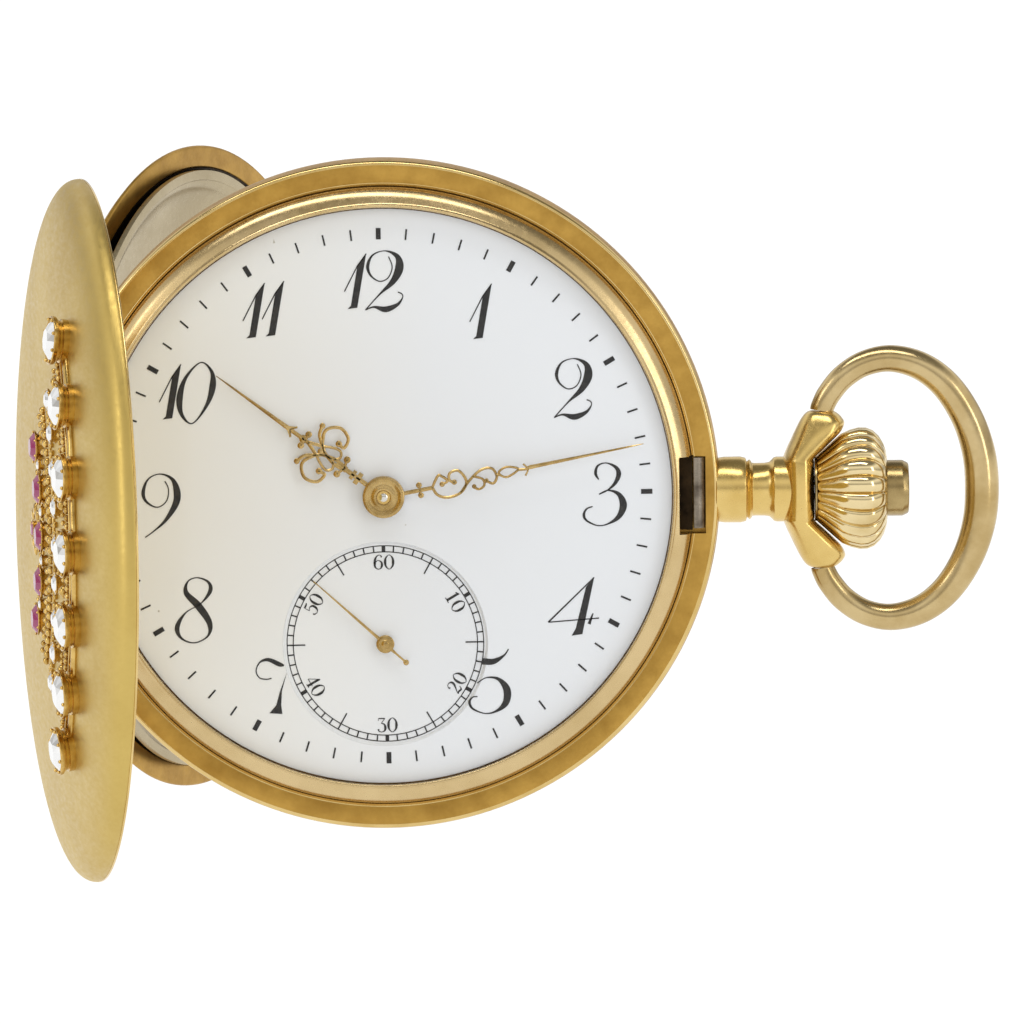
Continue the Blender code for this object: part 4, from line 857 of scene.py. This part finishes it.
SMALL_GLYPHS = {
    "0": {"loops": [[(0, 2, 0.16), (0.9, 1.2, 0.45), (1.12, 0, 0.7), (0.9, -1.2, 0.45), (0, -2, 0.16),
                     (-0.9, -1.2, 0.45), (-1.12, 0, 0.7), (-0.9, 1.2, 0.45)]]},
    "1": {"polygons": [[(-0.33, -1.8), (0.33, -1.8), (0.33, 2.0), (0.1, 2.0), (-0.75, 1.45), (-0.75, 1.2),
                        (-0.33, 1.35)]],
          "lines": [[(-0.85, -1.88, 0.22), (0.85, -1.88, 0.22)]]},
    "2": {"strokes": [[(-0.7, 0.95, 0.5), (-0.88, 1.35, 0.3), (-0.45, 1.9, 0.16), (0.25, 1.98, 0.22),
                       (0.85, 1.45, 0.5), (0.82, 0.75, 0.58), (0.25, -0.15, 0.4), (-0.5, -1.0, 0.22),
                       (-1.0, -1.75, 0.16)],
                      [(-1.0, -1.75, 0.3), (-0.35, -1.6, 0.46), (0.45, -1.85, 0.46), (0.95, -1.45, 0.2),
                       (1.02, -1.0, 0.12)]]},
    "3": {"strokes": [[(-0.1, 0.45, 0.14), (0.7, 0.2, 0.38), (1.03, -0.7, 0.66), (0.8, -1.6, 0.45),
                       (0, -1.98, 0.18), (-0.8, -1.7, 0.3), (-0.9, -1.2, 0.48)]],
          "lines": [[(-0.92, 1.2, 0.12), (-0.85, 1.85, 0.14)], [(-0.85, 1.82, 0.3), (0.92, 1.82, 0.3)],
                    [(0.9, 1.85, 0.16), (-0.12, 0.45, 0.16)]]},
    "4": {"polygons": [[(0.22, -1.9), (0.84, -1.9), (0.84, 2.0), (0.6, 2.0), (0.22, 1.45)]],
          "lines": [[(0.6, 2.0, 0.14), (-1.1, -0.75, 0.16)], [(-1.15, -0.8, 0.2), (1.2, -0.8, 0.2)],
                    [(0, -1.9, 0.2), (1.1, -1.9, 0.2)]]},
    "5": {"strokes": [[(-0.72, 1.68, 0.45), (0.2, 1.72, 0.42), (0.85, 1.95, 0.14)],
                      [(-0.7, 0.1, 0.14), (0.1, 0.5, 0.22), (0.88, 0.1, 0.5), (1.03, -0.7, 0.66),
                       (0.7, -1.6, 0.42), (0, -1.98, 0.18), (-0.75, -1.7, 0.3), (-0.9, -1.2, 0.45)]],
          "lines": [[(-0.7, 1.88, 0.14), (-0.7, 0.1, 0.14)]]},
    "6": {"loops": [[(0, 0.45, 0.16), (0.82, 0, 0.45), (1.0, -0.78, 0.62), (0.75, -1.6, 0.42), (0, -2, 0.16),
                     (-0.82, -1.5, 0.42), (-1.02, -0.7, 0.6), (-0.75, 0.05, 0.3)]],
          "strokes": [[(-1.03, -0.6, 0.66), (-0.95, 0.6, 0.6), (-0.45, 1.6, 0.32), (0.3, 2.0, 0.16),
                       (0.8, 1.7, 0.3), (0.78, 1.35, 0.42)]]},
}
HOURS = {12: [("1", -1.73, -0.22), ("2", 0.37, -0.22)], 1: [("1", -0.6, -0.45)], 2: [("2", 0.15, -0.37)],
         3: [("3", 0.15, -0.15)], 4: [("4", -0.07, -0.37)], 5: [("5", -0.3, 0.07)], 7: [("7", -0.45, 0.07)],
         8: [("8", -0.22, -0.15)], 9: [("9", -0.3, -0.37)], 10: [("1", -1.57, -0.05), ("0", 0.31, -0.15)],
         11: [("1", -1.18, -0.08), ("1", 0.25, 0.05)]}


def add_glyph(shape, glyph, place, low, high):
    for stroke in glyph.get("strokes", []):
        add_ribbon(shape, smooth_path(stroke, 8), low, high, place)
    for stroke in glyph.get("loops", []):
        add_ribbon(shape, smooth_path(stroke, 8, True), low, high, place, closed=True)
    for line in glyph.get("lines", []):
        add_ribbon(shape, line, low, high, place)
    for points in glyph.get("polygons", []):
        add_polygon(shape, points, low, high, place)


def flat_place(centre, turn=0.0, size=1.0):
    """Puts a drawing in XZ at a centre, turned clockwise as seen from the front."""
    cos, sin = math.cos(math.radians(turn)), math.sin(math.radians(turn))

    def place(x, z, y):
        x, z = x * size, z * size
        return Vector((centre[0] + x * cos + z * sin, y, centre[1] - x * sin + z * cos))
    return place


def add_tick(shape, centre, angle, inner, outer, width, low, high):
    """A radial bar at an angle clockwise from 12."""
    place = flat_place(centre, angle)
    half = width / 2
    add_polygon(shape, [(-half, inner), (half, inner), (half, outer), (-half, outer)], low, high, place)


def build_dial():
    """Enamel dial with its sunk seconds dial, track and numerals."""
    top = DIAL_Y + 0.02
    shape = bmesh.new()
    holes = [circle(SECONDS_HOLE_R, 96, (0, SECONDS_Z)), circle(POST_HOLE_R, 32)]
    plate_with_holes(shape, circle(DIAL_R, SMOOTH), holes, top, DIAL_Y + DIAL_THICK)
    dial = finish_piece("enamel_dial", shape, "enamel", "case")
    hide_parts("dial")
    sunk = SECONDS_Y + 0.02
    outline = [(0.5, sunk), (7.3, sunk), (7.45, sunk - 0.03), (7.56, top + 0.06), (7.61, top + 0.01),
               (7.612, sunk + 0.4), (0.5, sunk + 0.45)]
    small = turned("seconds_enamel", outline, "enamel", "case", centre=(0, 0, SECONDS_Z), segments=96)
    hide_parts("seconds_dial")
    ink = bmesh.new()
    low, high = top - INK_PROUD, top + INK_SUNK
    for k in range(60):
        half, width = (0.4, 0.13) if k % 5 else (0.42, 0.36)
        add_tick(ink, (0, 0), 6 * k + DIAL_TURN, TRACK_R - half, TRACK_R + half, width, low, high)
    for hour, digits in HOURS.items():
        angle = math.radians(30 * hour + DIAL_TURN)
        x, z = NUMERAL_R * math.sin(angle), NUMERAL_R * math.cos(angle)
        for digit, dx, dz in digits:
            add_glyph(ink, bolder(GLYPHS[digit]), flat_place((x + dx, z + dz), DIAL_TURN), low, high)
    finish_piece("dial_numerals", ink, "ink", "case", 30)
    build_seconds_track(sunk)


def plate_with_holes(shape, outer, holes, front, back):
    """A flat plate with holes: both faces are filled from their edges, and the walls joined."""
    for level in (front, back):
        edges = []
        for loop in (outer, *holes):
            verts = [shape.verts.new((x, level, z)) for x, z in loop]
            edges += [shape.edges.new((verts[k], verts[(k + 1) % len(verts)])) for k in range(len(verts))]
        bmesh.ops.triangle_fill(shape, use_beauty=True, use_dissolve=False, edges=edges)
    for loop in (outer, *holes):
        first = [shape.verts.new((x, front, z)) for x, z in loop]
        last = [shape.verts.new((x, back, z)) for x, z in loop]
        join_rings(shape, first, last)


def build_seconds_track(sunk):
    """Rings, divisions and small numerals of the seconds dial."""
    ink = bmesh.new()
    low, high = sunk - INK_PROUD, sunk + INK_SUNK
    for radius in SECONDS_TRACK:
        inner, outer = radius - 0.035, radius + 0.035
        outline = [(inner, low), (outer, low), (outer, high), (inner, high)]
        add_turned(ink, outline, axis_matrix("Y", (0, 0, SECONDS_Z)), 120)
    for k in range(60):
        start = 5.95 if k % 10 == 5 else SECONDS_TRACK[0]
        width = 0.1 if k % 10 else 0.27
        add_tick(ink, (0, SECONDS_Z), 6 * k + DIAL_TURN, start, SECONDS_TRACK[1], width, low, high)
    for k, (tens, turn) in enumerate((("6", 0), ("1", 60), ("2", -60), ("3", 0), ("4", 60), ("5", -60))):
        angle = math.radians(60 * k + DIAL_TURN)
        spot = SECONDS_NUMERAL_R * math.sin(angle), SECONDS_Z + SECONDS_NUMERAL_R * math.cos(angle)
        for digit, offset in ((tens, -0.4), ("0", 0.4)):
            middle = flat_place(spot, turn)(offset, 0, 0)
            place = flat_place((middle.x, middle.z), turn, SECONDS_NUMERAL_SIZE)
            add_glyph(ink, SMALL_GLYPHS[digit], place, low, high)
    finish_piece("seconds_numerals", ink, "ink", "case", 30)


def bolder(glyph):
    """The same drawing with its strokes a little heavier."""
    result = dict(glyph)
    for kind in ("strokes", "loops", "lines"):
        if kind in glyph:
            result[kind] = [[(x, z, max(width, 0.07) * 1.2) for x, z, width in path] for path in glyph[kind]]
    return result


# ---------------------------------------------------------------- hands

def wire_curves(shape, curves, level, thick, place, lean=0.0):
    """Gilt strokes with rounded backs; each curve is (kind, width, points)."""
    for kind, width, points in curves:
        closed = kind == "loop"
        if kind == "ball":
            for u, v in points:
                add_disc(shape, place, u + lean * v, v, width, level, thick)
            continue
        path = [(u + lean * v, v, width) for u, v in points]
        if kind != "line":
            path = smooth_path(path, 7, closed)
        add_ribbon(shape, path, level, level + thick, place, closed, dome=min(0.05, thick * 0.4))


def add_disc(shape, place, u, v, radius, level, thick):
    """A small round boss with a domed face."""
    loft(shape, [[shape.verts.new(place(x, y, level + depth)) for x, y in circle(radius * share, 16, (u, v))]
                 for share, depth in ((0.35, 0.0), (0.75, 0.02), (1.0, 0.07), (1.0, thick))])


def mirrored(curves):
    return curves + [(kind, width, [(-u, v) for u, v in points]) for kind, width, points in curves]


def add_pointer(shape, place, start, end, wide, level, thick):
    """The long tapered tip, ridged along its middle."""
    rows = [(start, wide * 0.6), (start + 0.25, wide), (start + 0.5, wide * 0.92), (end - 1.2, 0.13),
            (end, 0.05)]
    rings = []
    for v, width in rows:
        half, back, edge = width / 2, level + thick, level + 0.045
        profile = [(-half, back), (-half, edge), (0, level), (half, edge), (half, back)]
        rings.append([shape.verts.new(place(du, v, y)) for du, y in profile])
    loft(shape, rings)


def build_minute_hand():
    low, high = reach_of("minute_hand", Y)
    thick = high - low
    place = flat_place((0, 0), MINUTE_ANGLE)
    curves = [
        ("line", 0.3, [(0, 1.4), (0, 3.7)]),
        ("line", 0.16, [(-0.38, 2.75), (0.38, 2.75)]),
        ("ball", 0.22, [(-0.38, 2.75), (0.38, 2.75)]),
        ("curve", 0.2, [(-0.03, 3.69), (-0.77, 4.24), (-0.74, 4.5), (-0.3, 4.89), (-0.12, 4.5)]),
        ("ball", 0.2, [(-0.12, 4.45)]),
        ("curve", 0.21, [(-0.03, 3.69), (0.6, 3.97), (0.93, 4.72), (0.74, 5.7), (0.03, 6.25), (-0.85, 5.87),
                         (-0.84, 5.2), (-0.34, 5.03), (-0.06, 5.38)]),
        ("ball", 0.2, [(-0.1, 5.36)]),
        ("curve", 0.2, [(0.74, 5.7), (-0.04, 6.53), (-0.6, 7.45), (-0.58, 8.26), (0.07, 8.53), (0.54, 8.18),
                        (0.25, 7.69)]),
        ("curve", 0.18, [(-0.27, 6.78), (0.07, 7.45), (0.55, 7.49), (0.76, 7.05), (0.53, 6.69)]),
        ("ball", 0.17, [(0.25, 7.72), (0.5, 6.74)]),
        ("loop", 0.17, [(-0.15, 8.72), (-0.41, 9.1), (-0.43, 9.58), (-0.14, 10.2), (0.25, 9.44),
                        (0.19, 8.99)]),
        ("line", 0.2, [(0.02, 8.5), (0.0, 8.75)]),
        ("line", 0.2, [(-0.1, 10.1), (0, 10.95)]),
        ("line", 0.15, [(-0.45, 10.62), (0, 10.95), (0.45, 10.62)]),
    ]
    shape = bmesh.new()
    wire_curves(shape, curves, low, thick, place, 0.01)
    add_pointer(shape, place, 10.85, 19.65, 0.32, low, thick)
    hub = [(0.5, high), (0.5, low - 0.02), (0.62, low - 0.06), (0.78, low - 0.03), (0.88, low + 0.03),
           (1.12, low + 0.035), (1.24, low - 0.05), (1.4, low - 0.08), (1.53, low - 0.01), (1.56, high)]
    add_turned(shape, hub, axis_matrix("Y"), 64)
    hand = finish_piece("minute_hand_gilt", shape, "hand", "minute_hand", 40)
    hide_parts("minute_hand")
    post = [(0, low - 0.2), (0.2, low - 0.18), (0.35, low - 0.1, 1), (0.4, low + 0.02), (0.4, high),
            (0, high)]
    turned("hand_post", post, "bevel", "centre_wheel", segments=32, corner=0.06)


def build_hour_hand():
    low, high = reach_of("hour_hand", Y)
    thick = high - low
    place = flat_place((0, 0), HOUR_ANGLE)
    side = [
        ("curve", 0.24, [(0.1, 3.4), (0.18, 4.4), (0.02, 5.27), (0.38, 5.79)]),
        ("curve", 0.24, [(0.38, 5.79), (0.9, 6.5), (1.57, 6.76)]),
        ("curve", 0.24, [(0.39, 5.88), (1.3, 6.35), (1.9, 6.14), (2.28, 5.47), (1.97, 4.65), (1.23, 4.5),
                         (1.27, 5.04)]),
        ("loop", 0.2, [(0.38, 5.79), (0.06, 5.27), (0.07, 4.65), (0.49, 4.3), (0.87, 4.58), (0.76, 5.16)]),
        ("ball", 0.24, [(1.25, 5.0)]),
        ("ball", 0.26, [(0.65, 3.8)]),
        ("line", 0.2, [(0, 3.6), (0.65, 3.8)]),
        ("line", 0.24, [(0.39, 5.88), (0.02, 6.9)]),
        ("ball", 0.25, [(0.5, 7.2)]),
        ("ball", 0.22, [(1.62, 6.76)]),
        ("line", 0.17, [(0, 7.15), (0.5, 7.2)]),
        ("line", 0.16, [(0.46, 8.2), (0, 8.55)]),
    ]
    middle = [("line", 0.34, [(0, 1.4), (0, 4.3)]), ("line", 0.95, [(0, 2.15), (0, 2.5)]),
              ("line", 0.75, [(0, 2.66), (0, 2.94)]), ("line", 0.3, [(0, 6.8), (0, 8.4)]),
              ("ball", 0.3, [(0, 7.35)]), ("ball", 0.24, [(0, 5.75)])]
    shape = bmesh.new()
    wire_curves(shape, mirrored(side) + middle, low, thick, place)
    add_polygon(shape, [(0, 9.0), (0.5, 8.2), (0.12, 8.42), (-0.12, 8.42), (-0.5, 8.2)], low, high, place)
    add_pointer(shape, place, 8.3, 15.3, 0.36, low, thick)
    outline = [(1.02, high), (1.02, low), (1.4, low - 0.02), (1.55, low + 0.04), (1.56, high)]
    add_turned(shape, outline, axis_matrix("Y"), 64)
    hand = finish_piece("hour_hand_gilt", shape, "hand", "hour_hand", 40)
    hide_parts("hour_hand")


def build_seconds_hand():
    low, high = reach_of("seconds_hand", Y)
    place = flat_place((0, SECONDS_Z), SECONDS_ANGLE)
    shape = bmesh.new()
    add_ribbon(shape, [(0, 0.3, 0.3), (0, 1.0, 0.22), (0, 4.0, 0.15), (0, 7.1, 0.07)], low, high, place,
               dome=0.03)
    add_ribbon(shape, [(0, -0.3, 0.3), (0, -1.1, 0.15), (0, -2.0, 0.15)], low, high, place, dome=0.03)
    add_disc(shape, place, 0.0, -2.05, 0.22, low, high - low)
    outline = [(0, low - 0.1), (0.22, low - 0.09), (0.3, low - 0.02), (0.5, low - 0.03),
               (0.66, low + 0.02, 1), (0.68, high, 1), (0, high)]
    add_turned(shape, rounded(outline, 0.03), axis_matrix("Y", (0, 0, SECONDS_Z)), 40)
    hand = finish_piece("seconds_hand_gilt", shape, "hand", "fourth_wheel", 40)
    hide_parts("seconds_hand")


# ---------------------------------------------------------------- movement

def dress_nodes():
    """Gives every kept CAD node its material."""
    looks = {
        "matte": ["front_hinge_pin", "rear_hinge_pin"],
        "polish": ["cuvette_hinge_pin"],
        "brass": ["barrel", "centre_wheel", "third_wheel", "fourth_wheel", "balance_wheel", "minute_wheel",
                  "hour_wheel"],
        "steel": ["lift_spring", "winding_stem", "winding_pinion", "sliding_clutch", "setting_lever",
                  "crown_wheel", "ratchet_wheel", "barrel_arbor", "click", "escape_wheel", "pallet_fork",
                  "balance_staff", "cannon_pinion", "regulator_lever", "mainspring"],
        "blue": ["hairspring"] + [f"bridge_screw_{k}" for k in range(1, 6)],
        "nickel": ["pallet_bridge"],
    }
    for look, names in looks.items():
        for name in names:
            piece = bpy.data.objects[name]
            piece.data.materials.clear()
            piece.data.materials.append(MATERIALS[look])


def centre_of(name):
    return middle_of(name, X), middle_of(name, Z)


def build_jewels():
    """Pink jewels in gold settings where the arbors run in the bridges, and their end stones."""
    settings, jewels = bmesh.new(), bmesh.new()
    top = reach_of("barrel_bridge", Y)[1]
    spots = [(centre_of("centre_wheel"), 0.95), (centre_of("third_wheel"), 0.75),
             (centre_of("fourth_wheel"), 0.7), (centre_of("escape_wheel"), 0.7)]
    for (x, z), size in spots:
        matrix = axis_matrix("Y", (x, 0, z))
        ring = [(size * 0.6, top - 0.02), (size * 0.62, top + 0.05), (size * 0.78, top + 0.1),
                (size, top + 0.06), (size * 1.04, top + 0.01)]
        add_turned(settings, ring, matrix, 40)
        stone = [(0.12, top + 0.01), (0.16, top + 0.03), (size * 0.4, top + 0.09), (size * 0.58, top + 0.05),
                 (size * 0.6, top - 0.02)]
        add_turned(jewels, stone, matrix, 32)
    x, z = centre_of("balance_staff")
    cock_top = reach_of("regulator_lever", Y)[1]
    matrix = axis_matrix("Y", (x, 0, z))
    add_turned(settings, [(0.62, top + 0.02), (0.62, top + 0.16), (0.9, top + 0.18), (0.97, top + 0.02)],
               matrix, 40)
    add_turned(jewels, [(0, top + 0.02), (0, cock_top - 0.02), (0.3, cock_top - 0.04), (0.58, top + 0.14),
                        (0.6, top + 0.02)], matrix, 32)
    finish_piece("jewel_settings", settings, "polish", "case", 40, "gilt_brass")
    finish_piece("movement_jewels", jewels, "jewel", "case", 40)


def build_balance_screws():
    """Small round-headed screws round the balance rim."""
    shape = bmesh.new()
    x, z = centre_of("balance_staff")
    left, right = reach_of("balance_wheel", X)
    radius = (right - left) / 2
    for k in range(14):
        angle = 2 * math.pi * (k + 0.5) / 14
        middle = (x + radius * math.cos(angle), middle_of("balance_wheel", Y), z + radius * math.sin(angle))
        turn = Matrix.Translation(middle) @ Matrix.Rotation(-angle, 4, "Y") @ Matrix.Rotation(math.pi / 2, 4,
                                                                                              "Y")
        head = [(0, -0.12), (0.17, -0.12), (0.17, 0.2, 1), (0, 0.22)]
        add_turned(shape, rounded(head, 0.05), turn, 16)
    finish_piece("balance_screws", shape, "brass", "balance", 40)


def build_bridge_trims():
    """The plates of the movement again, with bright bevels along their edges."""
    for name, look in (("barrel_bridge", "nickel_a"), ("train_bridge", "nickel_a"),
                       ("balance_cock", "nickel_b"), ("main_plate", "nickel")):
        source = bpy.data.objects[name]
        mesh = source.data.copy()
        mesh.transform(source.matrix_world)
        piece = add_object(name + "_bevelled", mesh)
        mesh.materials.clear()
        mesh.materials.append(MATERIALS[look])
        mesh.materials.append(MATERIALS["bevel"])
        bevel = piece.modifiers.new("edge", "BEVEL")
        bevel.width = EDGE_BEVEL
        bevel.segments = 2
        bevel.limit_method = "ANGLE"
        bevel.angle_limit = math.radians(50)
        bevel.material = 1
        mesh.shade_smooth()
        mesh.set_sharp_from_angle(angle=math.radians(30))
        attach(piece, "case")
        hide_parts(name)


# ---------------------------------------------------------------- floor, light and camera

def build_floor():
    """A wide white sheet under and behind the watch, lit from within so that it shows no shadow."""
    item, tree, shader, coords = material("white_ground")
    tone = ramp(tree, noise(tree, coords, 3.0, 2.0), [(0.2, (0.0, 0.0, 0.0)), (0.8, (0.01, 0.01, 0.01))])
    feed(tree, shader, Base_Color=tone, Roughness=0.9, Emission_Color=(1, 1, 1, 1), Emission_Strength=1.02)
    mesh = bpy.data.meshes.new("white_floor")
    corners = [(x * FLOOR_SIDE, y * FLOOR_SIDE, FLOOR_Z) for x, y in ((-1, -1), (1, -1), (1, 1), (-1, 1))]
    mesh.from_pydata(corners, [], [(0, 1, 2, 3)])
    mesh.materials.append(item)
    floor = add_object("white_floor", mesh)


def build_world():
    """White surroundings with grey bands, so that polished gold has something to mirror."""
    world = bpy.data.worlds.new("studio")
    bpy.context.scene.world = world
    world.use_nodes = True
    tree = world.node_tree
    tree.nodes.clear()
    around = node(tree, "ShaderNodeTexCoord").outputs["Generated"]
    height = node(tree, "ShaderNodeSeparateXYZ", Vector=around).outputs["Z"]
    bands = ramp(tree, span(tree, height, 0.0, 1.0, -1.0, 1.0),
                 [(0.0, (1.0, 1.0, 1.0)), (0.52, (1.02, 1.02, 1.02)), (0.57, (0.4, 0.38, 0.35)),
                  (0.64, (0.7, 0.7, 0.7)), (0.76, (1.1, 1.1, 1.1)), (0.88, (0.25, 0.24, 0.22)),
                  (1.0, (0.2, 0.2, 0.2))])
    shade = node(tree, "ShaderNodeBackground", Color=bands, Strength=1.0)
    node(tree, "ShaderNodeOutputWorld", Surface=shade.outputs["Background"])


def area_light(name, place, target, size, power):
    data = bpy.data.lights.new(name, "AREA")
    data.shape = "RECTANGLE"
    data.size, data.size_y = size
    data.energy = power
    lamp = add_object(name, data)
    lamp.location = place
    lamp.rotation_euler = (Vector(target) - Vector(place)).to_track_quat("-Z", "Y").to_euler()


def build_lights():
    area_light("top_sheet", (-0.05, -0.12, 0.45), (0, 0, 0), (0.5, 0.12), 0.85)
    area_light("left_sheet", (-0.42, -0.25, 0.12), (0, 0, 0), (0.1, 0.35), 0.33)
    area_light("right_sheet", (0.4, -0.3, 0.1), (0.02, 0, 0), (0.08, 0.3), 0.25)


def build_camera():
    target = Vector((9.5, MID_Y, -1.51)) * MM
    rise = math.radians(CAMERA_RISE)
    data = bpy.data.cameras.new("camera")
    data.lens, data.sensor_width = 317.0, 36.0
    data.clip_start, data.clip_end = 0.05, 20.0
    camera = add_object("camera", data)
    camera.location = target + Vector((0, -CAMERA_DISTANCE * math.cos(rise),
                                       CAMERA_DISTANCE * math.sin(rise)))
    facing = (target - camera.location).to_track_quat("-Z", "Y").to_matrix().to_4x4()
    camera.rotation_euler = (facing @ Matrix.Rotation(math.radians(CAMERA_ROLL), 4, "Z")).to_euler()
    bpy.context.scene.camera = camera


def build_all():
    for build in (build_band, build_bezel, build_crystal, build_lid, build_rear_cover, build_cuvette,
                  build_neck, build_yoke, build_bow, build_crown, build_latch, build_dial,
                  build_minute_hand, build_hour_hand, build_seconds_hand, build_bridge_trims, dress_nodes,
                  build_jewels, build_balance_screws, build_floor, build_world, build_lights, build_camera):
        build()


build_all()
scene = bpy.context.scene
scene.view_settings.view_transform = "Standard"
scene.view_settings.look = "None"
